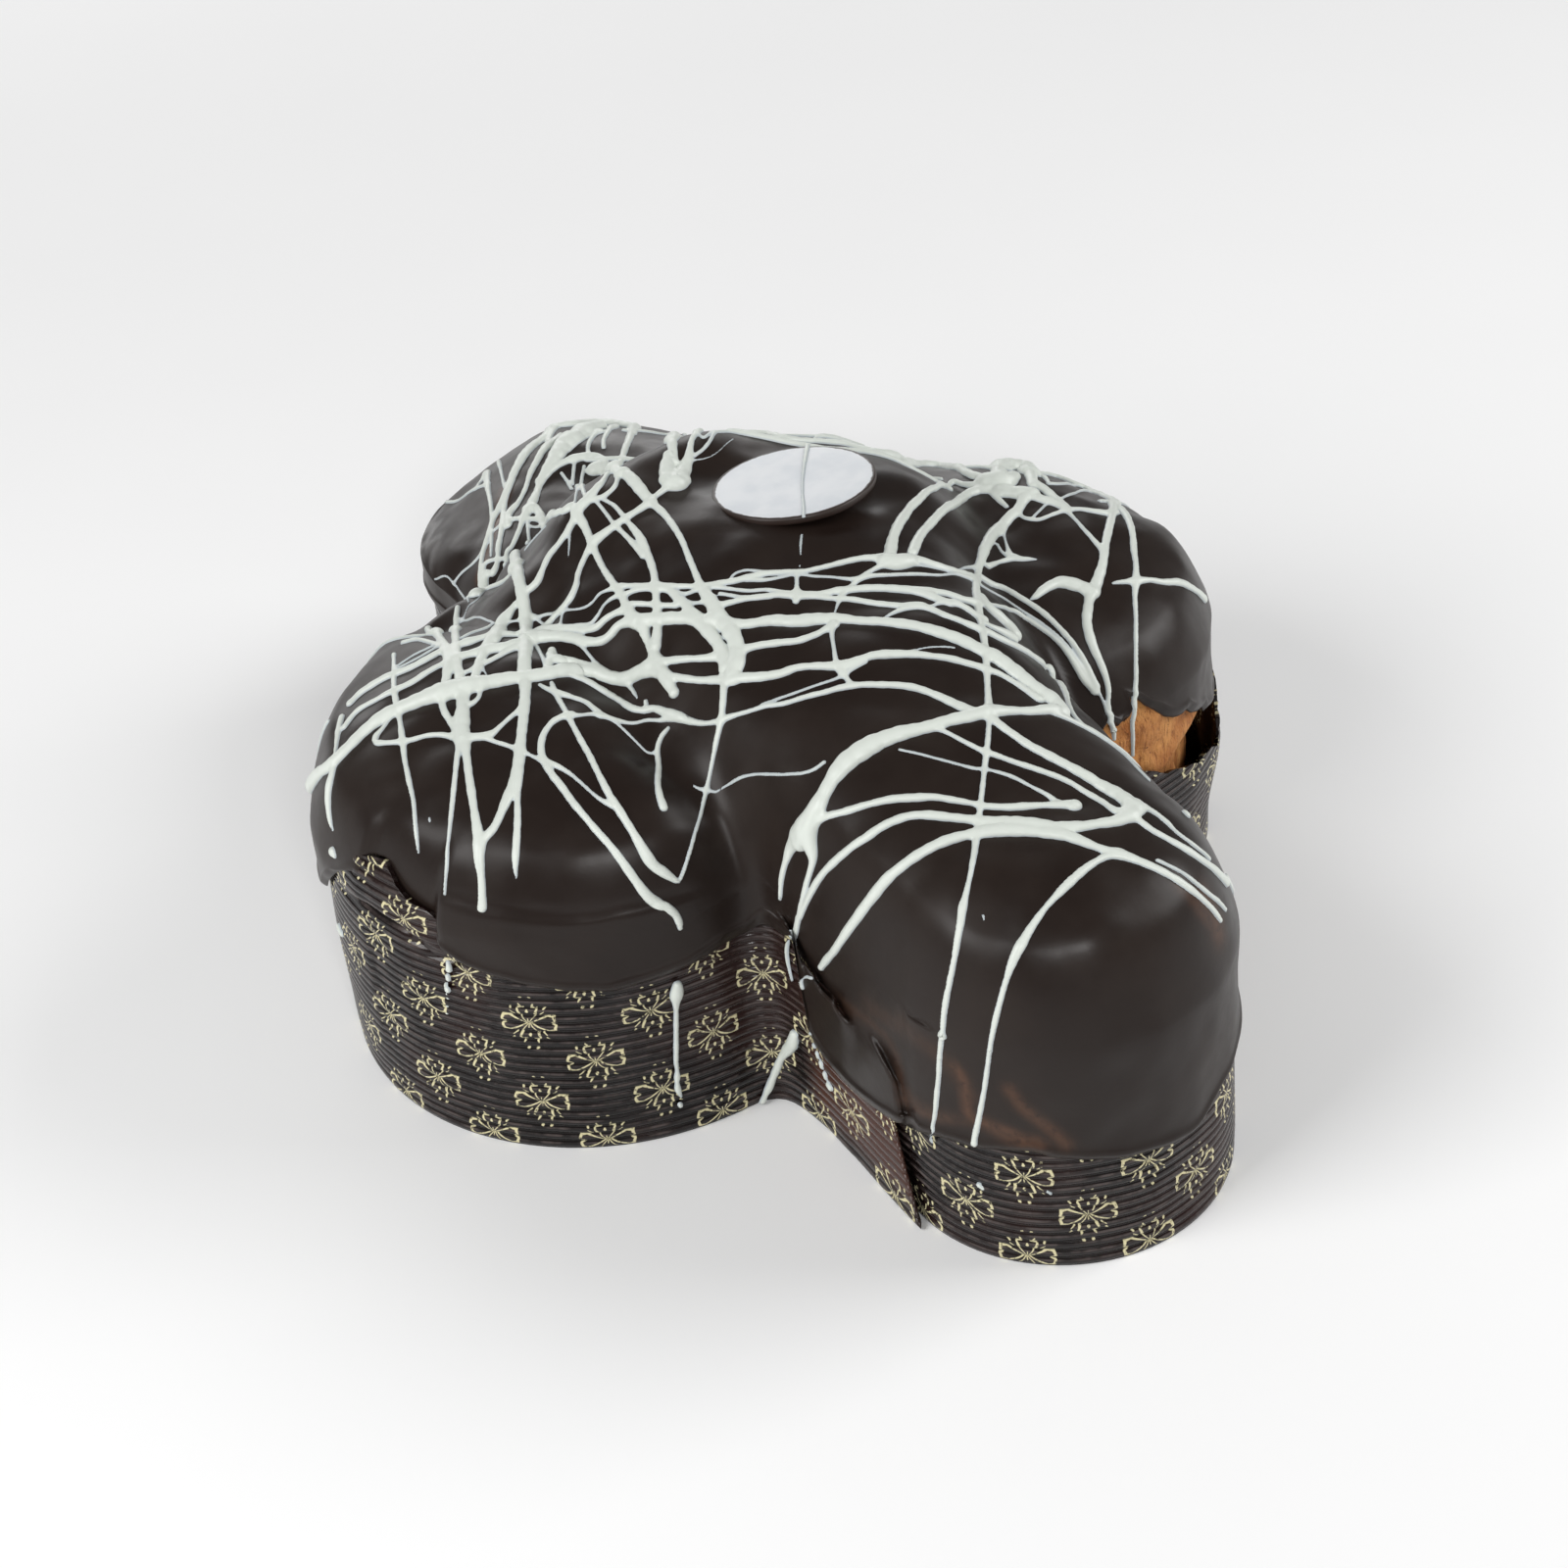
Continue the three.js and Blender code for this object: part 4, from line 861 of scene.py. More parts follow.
def coating():
    """The coating as a thin closed skin: down its outside, round its edge and back up inside."""
    angle = even_angles(COAT_COLUMNS)
    offset = coat_offset(angle)
    rim = rim_reach(angle, offset)
    edge = rim + coat_edge(angle) - COAT_THICKNESS / 2
    crest_end = rim - CREST_MARGIN
    shoulder_end = np.minimum(rim - 0.8, edge - 1.5)
    rows = []
    for i in range(1, COAT_CREST_ROWS + 1):
        rows.append((crest_end * i / COAT_CREST_ROWS, offset, 0.0))
    for i in range(1, COAT_SHOULDER_ROWS + 1):
        rows.append((mix(crest_end, shoulder_end, i / COAT_SHOULDER_ROWS), offset, 0.0))
    for i in range(1, COAT_SKIRT_ROWS + 1):
        part = 1 - (1 - i / COAT_SKIRT_ROWS) ** 1.5
        rows.append((mix(shoulder_end, edge, part), offset, 0.0))
    radius = COAT_THICKNESS / 2
    for i in range(1, COAT_LIP_ROWS + 1):
        turn = math.pi * i / COAT_LIP_ROWS
        rows.append((edge + radius * math.sin(turn), offset - radius * (1 - math.cos(turn)), 0.0))
    for i in range(1, COAT_INNER_ROWS + 1):
        rows.append((edge * (1 - i / (COAT_INNER_ROWS + 0.5)), offset - COAT_THICKNESS, COAT_DEPTH))
    points = [
        lift(angle, reach, row_offset + coat_bead(angle, reach), lowered, COAT_WAVES)
        for reach, row_offset, lowered in rows
    ]
    top = lift(np.zeros(1), np.zeros(1), offset[:1], 0.0, COAT_WAVES)
    piece, all_points = closed_skin("dark_coating", top, points, top - [0, 0, COAT_DEPTH])
    store(piece, "streak_and_sheen", streak_and_sheen_share(all_points))
    return piece


def streak_and_sheen_share(points):
    """How strongly the paler streaks and the painted highlights show at each point."""
    share = np.zeros(len(points))
    for half_width, strength, pixels in STREAKS_AND_SHEEN_SEEN:
        plan = CAKE_SEEN.find(pixels)
        path = curve_points(np.column_stack([plan, plan[:, :1]]), STREAK_AND_SHEEN_STEP)
        away = np.full(len(points), np.inf)
        for centre in cake_skin(path[:, 0], path[:, 1]):
            away = np.minimum(away, np.sum((points - centre) ** 2, -1))
        share = np.maximum(share, strength * np.exp(-away / half_width ** 2))
    return share


# Drizzle: a height over a grid on the flattened plan
DRIZZLE_CELL = 0.3
DRIZZLE_STEP = 0.3
DRIZZLE_MELT = 0.32
DRIZZLE_FLATNESS = 0.82
DRIZZLE_SINK = 0.12
DRIZZLE_SWELL = 0.03
SWELL_LENGTHS = (3.0, 7.0, 13.0)
CURVE_STEPS = 24
LOWEST_DRIP = 0.6
NO_STRAND = -9.0
ON_BREAD = -1.0
ON_PAPER = 0.1
PLAN_BOUNDS = (-168, 140, -206, 165)
PLAN_STEP = 0.6
PLAQUE_CELL = 0.2
PLAQUE_STEP = 0.5

# Where one lobe's drizzle ends and the next begins
LEFT_WING_X = -38
RIGHT_WING_X = 46
TAIL_Y = -60
HEAD_Y = 62


def base_offset(angle, reach):
    """Past the coating's edge the strands lie on the paper, or on the bread where the paper has sagged."""
    offset = coat_offset(angle)
    rim = rim_reach(angle, offset)
    edge = rim + coat_edge(angle)
    below_rim = reach - rim
    on_bread = below_rim < RIM_HEIGHT - paper_top(angle)
    beyond = np.where(on_bread, ON_BREAD, ON_PAPER)
    return mix(offset, np.minimum(beyond, offset), smooth(edge - 0.8, edge + 0.9, reach))


def cake_skin(x, y):
    """What the drizzle lies on: the coating, and the paper or the bread past its edge."""
    angle = np.arctan2(y, x)
    reach = np.hypot(x, y)
    return lift(angle, reach, base_offset(angle, reach) + coat_bead(angle, reach), 0.0, COAT_WAVES)


def plaque_skin(x, y):
    """The top face of the leaning plaque."""
    return np.stack([x, y, PLAQUE_TOP - PLAQUE_LEAN * (y - PLAQUE_CENTRE[1])], -1)


def camera_frame():
    """The camera's place in millimetres, and its directions to the right, up and forward."""
    tilt, turn, roll = CAMERA_PITCH, CAMERA_AZIMUTH, CAMERA_ROLL
    forward = np.array([-math.sin(turn) * math.cos(tilt), math.cos(turn) * math.cos(tilt), -math.sin(tilt)])
    level = np.array([math.cos(turn), math.sin(turn), 0])
    steep = np.cross(level, forward)
    right = level * math.cos(roll) + steep * math.sin(roll)
    up = steep * math.cos(roll) - level * math.sin(roll)
    return np.array(CAMERA_AIM) - forward * CAMERA_DISTANCE, right, up, forward


def photo_view(points):
    """Pixels across and down in the photograph, and depth from the camera, of points in millimetres."""
    place, right, up, forward = camera_frame()
    away = points - place
    depth = away @ forward
    across = PHOTO_SIZE / 2 + PHOTO_SCALE * (away @ right) / depth
    down = PHOTO_SIZE / 2 - PHOTO_SCALE * (away @ up) / depth
    return across, down, depth


def unit(vectors):
    """The same directions with a length of 1."""
    return vectors / np.maximum(np.linalg.norm(vectors, axis=-1, keepdims=True), 1e-9)


# Pixels of the cells in which nearer parts hide farther ones, and by how many millimetres they do
HIDING_CELL = 4
HIDING_DEPTH = 12.0


class SeenSkin:
    """Finds the place on the plan of a skin that a pixel of the photograph shows."""

    def __init__(self, skin, bounds, step):
        self.skin, self.step = skin, step
        x, y = np.meshgrid(np.arange(*bounds[:2], step), np.arange(*bounds[2:], step), indexing="ij")
        surface = skin(x, y)
        across, down, depth = photo_view(surface)
        facing = np.einsum("ijk,ijk->ij", grid_normals(surface), camera_frame()[0] - surface) > 0
        cells = PHOTO_SIZE // HIDING_CELL
        column = np.clip(across / HIDING_CELL, 0, cells - 1).astype(int)
        row = np.clip(down / HIDING_CELL, 0, cells - 1).astype(int)
        nearest = np.full((cells, cells), np.inf)
        np.minimum.at(nearest, (column, row), depth)
        shown = facing & (depth < nearest[column, row] + HIDING_DEPTH)
        self.place = np.stack([x[shown], y[shown]], -1)
        self.pixel = np.stack([across[shown], down[shown]], -1)
        slopes = [*np.gradient(across, step), *np.gradient(down, step)]
        self.slopes = np.stack([slope[shown] for slope in slopes], -1)

    def find(self, pixels):
        """Places on the plan, each from the nearest grid point and a step along the slopes there."""
        found = []
        for pixel in np.array(pixels, float):
            i = np.argmin(np.sum((self.pixel - pixel) ** 2, -1))
            across_x, across_y, down_x, down_y = self.slopes[i]
            off_across, off_down = pixel - self.pixel[i]
            area = across_x * down_y - across_y * down_x
            area = math.copysign(max(abs(area), 1.0), area)
            move = np.array([off_across * down_y - off_down * across_y,
                             off_down * across_x - off_across * down_x]) / area
            found.append(self.place[i] + np.clip(move, -self.step, self.step))
        return np.array(found)


def plain_skin(x, y):
    """The coating's skin without its edge."""
    angle, reach = np.arctan2(y, x), np.hypot(x, y)
    return lift(angle, reach, coat_offset(angle), 0.0, COAT_WAVES)


def line_round(seen, pixels):
    """A line seen in the photograph, as angles and distances below the rim."""
    x, y = seen.find(pixels).T
    angle, reach = np.arctan2(y, x), np.hypot(x, y)
    order = np.argsort(angle)
    return angle[order], (reach - rim_reach(angle, coat_offset(angle)))[order]


def curve_points(knots, step):
    """Evenly spaced points on a smooth curve through the knots, with the width as a third number."""
    if len(knots) == 2:
        count = max(2, int(np.hypot(*(knots[1] - knots[0])[:2]) / step) + 1)
        return mix(knots[0], knots[1], np.linspace(0, 1, count)[:, None])
    padded = np.concatenate([[2 * knots[0] - knots[1]], knots, [2 * knots[-1] - knots[-2]]])
    pieces = []
    for a, b, c, d in zip(padded, padded[1:], padded[2:], padded[3:]):
        t = np.linspace(0, 1, CURVE_STEPS, endpoint=False)[:, None]
        pieces.append(0.5 * (2 * b + (c - a) * t + (2 * a - 5 * b + 4 * c - d) * t ** 2
                             + (3 * b - a - 3 * c + d) * t ** 3))
    dense = np.concatenate([*pieces, knots[-1:]])
    length = np.concatenate([[0], np.cumsum(np.hypot(*np.diff(dense[:, :2], axis=0).T))])
    even = np.linspace(0, length[-1], max(3, int(length[-1] / step)))
    return np.stack([np.interp(even, length, column) for column in dense.T], -1)


def strand(widths, knots, draw):
    """Evenly spaced points along a strand, and its width at each, with slow random swelling."""
    knots = np.array(knots, float)
    part = np.linspace(0, 1, len(knots))
    spread = np.interp(part, np.linspace(0, 1, len(widths)), widths)
    path = curve_points(np.column_stack([knots, spread]), DRIZZLE_STEP)
    width = np.maximum(path[:, 2], 0.2)
    place = DRIZZLE_STEP * np.arange(len(path))
    for wavelength in SWELL_LENGTHS:
        width = width * (1 + DRIZZLE_SWELL * np.sin(2 * np.pi * (place / wavelength + draw.random())))
    return path[:, :2], width


def true_width(path, pixels_wide, skin):
    """Widths in millimetres of a strand that looks some pixels wide in the photograph.

    A low round bead that runs across the line of sight looks narrower than it is.
    """
    x, y = path.T
    small = 0.4
    centre = skin(x, y)
    slope_x = skin(x + small, y) - skin(x - small, y)
    slope_y = skin(x, y + small) - skin(x, y - small)
    normal = unit(np.cross(slope_x, slope_y))
    along = unit(np.gradient(centre, axis=0))
    sight = unit(camera_frame()[0] - centre)
    slant = np.sqrt(np.maximum(1 - np.sum(along * sight, -1) ** 2, 0.04))
    facing = np.clip(np.sum(normal * sight, -1) / slant, 0.3, 1)
    share = (facing + np.sqrt(facing ** 2 + DRIZZLE_FLATNESS ** 2 * (1 - facing ** 2))) / 2
    return pixels_wide * photo_view(centre)[2] / PHOTO_SCALE / share


def seen_strands(tables, seen, draw):
    """Path and half widths of each strand read from the photograph."""
    found = []
    for widths, pixels in tables:
        path, width = strand(widths, seen.find(pixels), draw)
        found.append((path, true_width(path, width, seen.skin) / 2))
    return found


def drizzle_field(strands, skin, bounds, cell):
    """How deep each grid point lies inside the strands, and the half width of the strands there."""
    x = np.arange(bounds[0], bounds[1], cell)
    y = np.arange(bounds[2], bounds[3], cell)
    grid_x, grid_y = np.meshgrid(x, y, indexing="ij")
    surface = skin(grid_x, grid_y)
    weight = np.zeros(grid_x.shape)
    radius_sum = np.zeros(grid_x.shape)
    for path, radii in strands:
        centres = skin(path[:, 0], path[:, 1])
        margin = int(radii.max() * 1.6 / cell) + 4
        column = np.round((path[:, 0] - bounds[0]) / cell).astype(int)
        row = np.round((path[:, 1] - bounds[2]) / cell).astype(int)
        low_i, high_i = max(column.min() - margin, 0), min(column.max() + margin + 1, len(x))
        low_j, high_j = max(row.min() - margin, 0), min(row.max() + margin + 1, len(y))
        depth = np.full((high_i - low_i, high_j - low_j), NO_STRAND)
        thick = np.zeros(depth.shape)
        for centre, radius, i, j in zip(centres, radii, column, row):
            i0, i1 = max(i - margin, low_i), min(i + margin + 1, high_i)
            j0, j1 = max(j - margin, low_j), min(j + margin + 1, high_j)
            if i0 >= i1 or j0 >= j1:
                continue
            difference = surface[i0:i1, j0:j1] - centre
            found = radius - np.sqrt(np.einsum("ijk,ijk->ij", difference, difference))
            part = (slice(i0 - low_i, i1 - low_i), slice(j0 - low_j, j1 - low_j))
            better = found > depth[part]
            depth[part] = np.where(better, found, depth[part])
            thick[part] = np.where(better, radius, thick[part])
        share = np.exp(depth / DRIZZLE_MELT) * (depth > NO_STRAND + 1)
        weight[low_i:high_i, low_j:high_j] += share
        radius_sum[low_i:high_i, low_j:high_j] += share * thick
    depth = np.where(weight > 0, DRIZZLE_MELT * np.log(np.maximum(weight, 1e-12)), NO_STRAND)
    thick = radius_sum / np.maximum(weight, 1e-12)
    depth = np.where(surface[..., 2] < LOWEST_DRIP, NO_STRAND, depth)
    return surface, depth, thick


def grid_normals(surface):
    """Outward directions at the points of a grid."""
    return unit(np.cross(np.gradient(surface, axis=0), np.gradient(surface, axis=1)))


def bead_height(depth, thick):
    """A round bead, a little flattened, with a small rise where strands cross."""
    inner = np.clip(depth, 0, thick)
    extra = np.maximum(depth - thick, 0)
    return DRIZZLE_FLATNESS * np.sqrt(np.maximum(inner * (2 * thick - inner), 0)) + 0.5 * extra


def cell_outlines(pattern):
    """Corners and edges of a grid cell that bound the filled part, for a pattern of filled corners.

    Corners are 0 to 3 in turn, and edge i runs from corner i to the next.
    """
    filled = [bool(pattern & (1 << i)) for i in range(4)]
    if pattern in (5, 10):
        return [[("corner", i), ("edge", i), ("edge", (i + 3) % 4)] for i in range(4) if filled[i]]
    outline = []
    for i in range(4):
        if filled[i]:
            outline.append(("corner", i))
        if filled[i] != filled[(i + 1) % 4]:
            outline.append(("edge", i))
    return [outline]


def drizzle_mesh(name, surface, depth, thick, chosen):
    """Mesh over the grid where the strands are, cut off smoothly at their edges."""
    rows, columns = depth.shape
    inside = depth > 0
    number = np.arange(rows * columns).reshape(rows, columns)
    corner = [number[:-1, :-1], number[1:, :-1], number[1:, 1:], number[:-1, 1:]]
    flags = [inside[:-1, :-1], inside[1:, :-1], inside[1:, 1:], inside[:-1, 1:]]
    pattern = sum(flag.astype(int) << i for i, flag in enumerate(flags))
    pattern = np.where(chosen[:-1, :-1], pattern, 0)
    total = rows * columns
    edge_start = [corner[0], corner[1], corner[3], corner[0]]
    edge_kind = [0, 1, 0, 1]
    polygons = {}
    for value in range(1, 16):
        cells = pattern == value
        if not cells.any():
            continue
        for outline in cell_outlines(value):
            ids = []
            for kind, i in outline:
                if kind == "corner":
                    ids.append(corner[i][cells])
                else:
                    ids.append(total * (1 + edge_kind[i]) + edge_start[i][cells])
            polygons.setdefault(len(ids), []).append(np.stack(ids, -1))
    polygons = [np.concatenate(found) for found in polygons.values()]
    used, flat = np.unique(np.concatenate([p.ravel() for p in polygons]), return_inverse=True)
    normal = grid_normals(surface).reshape(-1, 3)
    flat_surface, flat_depth = surface.reshape(-1, 3), depth.ravel()
    height = bead_height(flat_depth, thick.ravel())
    start = used % total
    step = np.where(used < total, 0, np.where(used < 2 * total, columns, 1))
    end = np.minimum(start + step, total - 1)
    gap = flat_depth[start] - flat_depth[end]
    part = np.where(used < total, 0, flat_depth[start] / np.where(np.abs(gap) < 1e-9, 1, gap))
    part = np.clip(part, 0, 1)[:, None]
    place = mix(flat_surface[start], flat_surface[end], part)
    facing = mix(normal[start], normal[end], part)
    rise = np.where(used < total, height[start], -DRIZZLE_SINK)
    points = place + facing * rise[:, None]
    split = np.cumsum([p.size for p in polygons])[:-1]
    polygons = [ids.reshape(-1, p.shape[1]) for ids, p in zip(np.split(flat, split), polygons)]
    piece = new_mesh(name, points, polygons)
    store(piece, "thickness", np.maximum(rise, 0))
    return piece


def drizzle_pieces():
    """The strands on the cake, in one piece for each lobe."""
    draw = np.random.default_rng(21)
    tables = LEFT_WING_SEEN + CREST_SEEN + RIGHT_WING_SEEN + TAIL_SEEN + HEAD_SEEN + DRIPS_SEEN
    strands = seen_strands(tables, CAKE_SEEN, draw)
    for widths, knots in HIDDEN_DRIZZLE:
        path, width = strand(widths, knots, draw)
        strands.append((path, width / 2))
    surface, depth, thick = drizzle_field(strands, cake_skin, PLAN_BOUNDS, DRIZZLE_CELL)
    x = PLAN_BOUNDS[0] + DRIZZLE_CELL * np.arange(depth.shape[0])[:, None] + 0 * depth
    y = PLAN_BOUNDS[2] + DRIZZLE_CELL * np.arange(depth.shape[1])[None, :] + 0 * depth
    left = x < LEFT_WING_X
    right = x > RIGHT_WING_X
    tail = (y < TAIL_Y) & ~left & ~right
    head = (y > HEAD_Y) & ~left & ~right
    crest = ~(left | right | tail | head)
    lobes = {"left_wing": left, "right_wing": right, "tail": tail, "head": head, "crest": crest}
    return [
        drizzle_mesh("white_drizzle_" + lobe, surface, depth, thick, chosen)
        for lobe, chosen in lobes.items()
    ]


def plaque_drizzle():
    """The thin strand that crosses the plaque."""
    x, y = PLAQUE_CENTRE
    bounds = (x - PLAQUE_RADIUS, x + PLAQUE_RADIUS, y - PLAQUE_RADIUS, y + PLAQUE_RADIUS)
    seen = SeenSkin(plaque_skin, bounds, PLAQUE_STEP)
    strands = seen_strands(PLAQUE_DRIZZLE, seen, np.random.default_rng(22))
    surface, depth, thick = drizzle_field(strands, plaque_skin, bounds, PLAQUE_CELL)
    return drizzle_mesh("white_drizzle_plaque", surface, depth, thick, np.ones(depth.shape, bool))


# Paper case. Its strip begins at one length along the outline and laps over its own beginning, and it
# comes loose from the bend on. The flap's end is height and length, and the crease is degrees and height.
CASE_COLUMNS = 540
RIB_ROWS = (0.0, 0.1, 0.3, 0.6, 0.88)
BACK_ROWS = 12
STRIP_START = 131.0
STRIP_SPARE = 14.0
FLAP_BEND = 112.0
FLAP_END = ((-5, 149), (11.5, 144.3), (21, 141.9), (36.5, 139.5), (45, 132), (75, 122))
CREASE = ((-190, 52), (-182, 54.5), (-177, 55.8), (-172, 55), (-168, 52), (-164, 49))
FLARE = 2.4


def flap_end(height):
    """Length along the outline at which the paper's outer end stops, at each height."""
    return np.interp(height, *np.array(FLAP_END, float).T)


def flap_rise(length, height, soft):
    """How far the loose end of the paper stands off the wall."""
    end = flap_end(height)
    lifted = smooth(FLAP_BEND, end, length) * (1.5 + 1.3 * smooth(30, 0, height))
    return lifted * (1 - smooth(end - 0.2, end + soft, length))


def ribs(height):
    """Pressed ribs: round backs with narrow grooves between them."""
    return -RIB_DEPTH * (1 - np.abs(np.sin(np.pi * height / RIB_PITCH)) ** 0.6)


def paper_shape(angle, height):
    """Slow bulges, the crease at the left wing and the torn flare at the right wing."""
    length = length_at(angle)
    degrees = np.degrees(angle)
    bulge = ripple(length, height * 0.7, PAPER_WAVES) * smooth(0, 8, height)
    turned = np.where(degrees > 0, degrees - 360, degrees)
    level = np.interp(turned, *np.array(CREASE, float).T)
    window = smooth(-187, -180, turned) * (1 - smooth(-168, -162, turned))
    crease = -1.5 * swell(height - level, 1.3) + 0.9 * smooth(1.0, 4.0, height - level)
    top = paper_top(angle)
    flare = smooth(-42, -28, degrees) * (1 - smooth(-14, -8, degrees))
    flare = flare * FLARE * smooth(22, 0, top - height)
    lean = 0.03 * np.maximum(height - RIM_HEIGHT, 0) ** 2
    return bulge + crease * window + flare - lean


def case_wall():
    """The ribbed strip: from its hidden end round the cake, and over its own beginning."""
    levels = []
    for rib in range(int((RIM_HEIGHT + STRIP_SPARE) / RIB_PITCH)):
        levels.extend((rib + part) * RIB_PITCH for part in RIB_ROWS)
    height = np.array(levels)[:, None]
    along = np.linspace(STRIP_START, PERIMETER + flap_end(0.0), CASE_COLUMNS) + 0 * height
    bend = PERIMETER + FLAP_BEND
    share = (along - bend) / (PERIMETER + flap_end(0.0) - bend)
    along = np.where(along > bend, bend + share * (PERIMETER + flap_end(height) - bend), along)
    angle = angle_at(along)
    top = paper_top(angle)
    height = np.minimum(height, top)
    covered = smooth(*COVERED, height)
    rise = np.where(along > PERIMETER, flap_rise(along - PERIMETER, height, 0.2) * (1 - covered), 0)
    least = mix(0.75, 0.3, covered) * smooth(bend, bend + 12, along)
    rise = np.where(along > bend, np.maximum(rise, least), rise)
    return along, angle, height, paper_shape(angle, height) + rise


def ribbed_case():
    """The wall of the case, with its ribs outside, a plain inner face, a top edge and two ends."""
    along, angle, height, outward = case_wall()
    rows, columns = height.shape
    radius, stretch = outline_radius(angle), outline_stretch(angle)
    front_reach = radius + (outward + ribs(height)) * stretch
    back_reach = radius + (outward - RIB_DEPTH - PAPER_THICKNESS) * stretch
    front = polar(front_reach, angle, height).reshape(-1, 3)
    chosen = [*range(0, rows - 1, BACK_ROWS), rows - 1]
    back = polar(back_reach, angle, height)[chosen]
    count = rows * columns
    points = np.concatenate([front, back.reshape(-1, 3)])
    faces = ring_quads(rows, columns, False)[:, ::-1]
    faces = faces[height.ravel()[faces].min(1) < height.ravel()[faces].max(1) - 1e-6]
    back_faces = ring_quads(len(chosen), columns, False, count)
    low = points[back_faces][..., 2]
    back_faces = back_faces[low.min(1) < low.max(1) - 1e-6]
    across = np.arange(columns - 1)
    last, back_last = (rows - 1) * columns, count + (len(chosen) - 1) * columns
    top_side = np.stack([last + across, back_last + across, back_last + across + 1, last + across + 1], -1)
    ends = []
    for column, turned in ((0, 1), (columns - 1, -1)):
        for i in range(len(chosen) - 1):
            quad = [chosen[i] * columns + column, chosen[i + 1] * columns + column,
                    count + (i + 1) * columns + column, count + i * columns + column]
            if height[chosen[i], column] < height[chosen[i + 1], column] - 1e-6:
                ends.append(quad[::turned])
    piece = new_mesh("ribbed_case", points, [faces, back_faces, top_side, np.array(ends)])
    wall = np.stack([along, height, 0 * height], -1)
    store(piece, "wall", np.concatenate([wall.reshape(-1, 3), wall[chosen].reshape(-1, 3)]))
    return piece


FLOOR_COLUMNS = 360
FLOOR_THICKNESS = 0.6


def case_floor():
    """The flat bottom of the paper case."""
    count = FLOOR_COLUMNS
    angle = even_angles(count)
    radius, stretch = outline_radius(angle), outline_stretch(angle)
    rings = []
    for inset, z in ((1.1, 0.0), (0.3, 0.0), (0.3, FLOOR_THICKNESS), (1.1, FLOOR_THICKNESS)):
        rings.append(polar(radius - inset * stretch, angle, z))
    points = np.concatenate([*rings, [[0, 0, 0], [0, 0, FLOOR_THICKNESS]]])
    caps = [fan(4 * count, 0, count, True), fan(4 * count + 1, 3 * count, count)]
    piece = new_mesh("case_floor", points, [ring_quads(4, count)[:, ::-1], *caps])
    store(piece, "wall", np.zeros((len(points), 3)))
    return piece


# Crust. Its deep crease runs between two places given as degrees and height.
CRUST_COLUMNS = 960
CRUST_CREST_ROWS = 20
CRUST_SHOULDER_ROWS = 20
CRUST_WALL_ROWS = 52
CRUST_LOWERED = 2.4
CRUST_GAP = 0.5
CRUST_INSET = -0.9
CRUST_FOOT = 1.2
CRUST_COVERED_DEPTH = 3.4
CRUST_BARE_DEPTH = 1.5
HOLLOW_DEPTH = 4.5
WRINKLE_SHARE = 0.6
CREASE_DEPTH = 1.6
CREASE_WIDTH = 0.55
CREASE_FOOT = (-37.6, 40.0)
CREASE_HEAD = (-40.7, 60.0)


def crust_depth(angle, height):
    """How far the bread's wall lies inside the outline."""
    degrees = np.degrees(angle)
    bare = smooth(-58, -50, degrees) * (1 - smooth(-14, -8, degrees))
    hollow = smooth(-33, -25, degrees) * (1 - smooth(-12, -6, degrees)) * smooth(43.5, 37, height)
    line = np.interp(height, (CREASE_FOOT[1], CREASE_HEAD[1]), (CREASE_FOOT[0], CREASE_HEAD[0]))
    crease = swell(degrees - line, CREASE_WIDTH) * smooth(36, 42, height) * (1 - smooth(58, 62, height))
    depth = mix(CRUST_COVERED_DEPTH, CRUST_BARE_DEPTH, bare)
    return depth + HOLLOW_DEPTH * hollow + CREASE_DEPTH * crease


def crust():
    """The bread: its dome under the coating and its wall inside the paper, with small wrinkles."""
    angle = even_angles(CRUST_COLUMNS)
    offset = np.minimum(coat_offset(angle) - COAT_THICKNESS, CRUST_INSET) - CRUST_GAP
    rim = rim_reach(angle, offset)
    crest_end = rim - CREST_MARGIN
    points = []
    for i in range(1, CRUST_CREST_ROWS + 1):
        points.append(lift(angle, crest_end * i / CRUST_CREST_ROWS, offset, CRUST_LOWERED))
    for i in range(1, CRUST_SHOULDER_ROWS + 1):
        points.append(lift(angle, mix(crest_end, rim, i / CRUST_SHOULDER_ROWS), offset, CRUST_LOWERED))
    points = np.array(points)
    start = points[-1]
    wall = []
    for i in range(1, CRUST_WALL_ROWS + 1):
        part = i / CRUST_WALL_ROWS
        z = mix(start[:, 2], CRUST_FOOT, part ** 1.15)
        reach = outline_radius(angle) - crust_depth(angle, z) * outline_stretch(angle)
        reach = mix(np.hypot(start[:, 0], start[:, 1]), reach, smooth(0, 0.12, part))
        wall.append(polar(reach, angle, z))
    points = np.concatenate([points, np.array(wall)])
    along = length_at(angle)
    height = points[..., 2]
    wrinkle = ripple(along + 0 * height, height * 1.6, CRUST_WAVES)
    amount = smooth(-4, 6, (np.arange(len(points)) - CRUST_CREST_ROWS)[:, None]) * WRINKLE_SHARE
    points[..., 0] += wrinkle * amount * np.cos(angle)
    points[..., 1] += wrinkle * amount * np.sin(angle)
    top = lift(np.zeros(1), np.zeros(1), offset[:1], CRUST_LOWERED)
    return closed_skin("bread_crust", top, points, [[0, 0, CRUST_FOOT]])[0]


# Plaque. Its profile is share of the radius and height over its underside.
PLAQUE_COLUMNS = 160
PLAQUE_PROFILE = (
    (0.25, 0.0), (0.7, 0.0), (0.97, 0.0), (0.995, 0.25), (1.0, 0.7), (1.0, 1.4), (0.995, 1.8), (0.985, 1.95),
    (0.97, PLAQUE_THICKNESS), (0.7, PLAQUE_THICKNESS), (0.25, PLAQUE_THICKNESS),
)


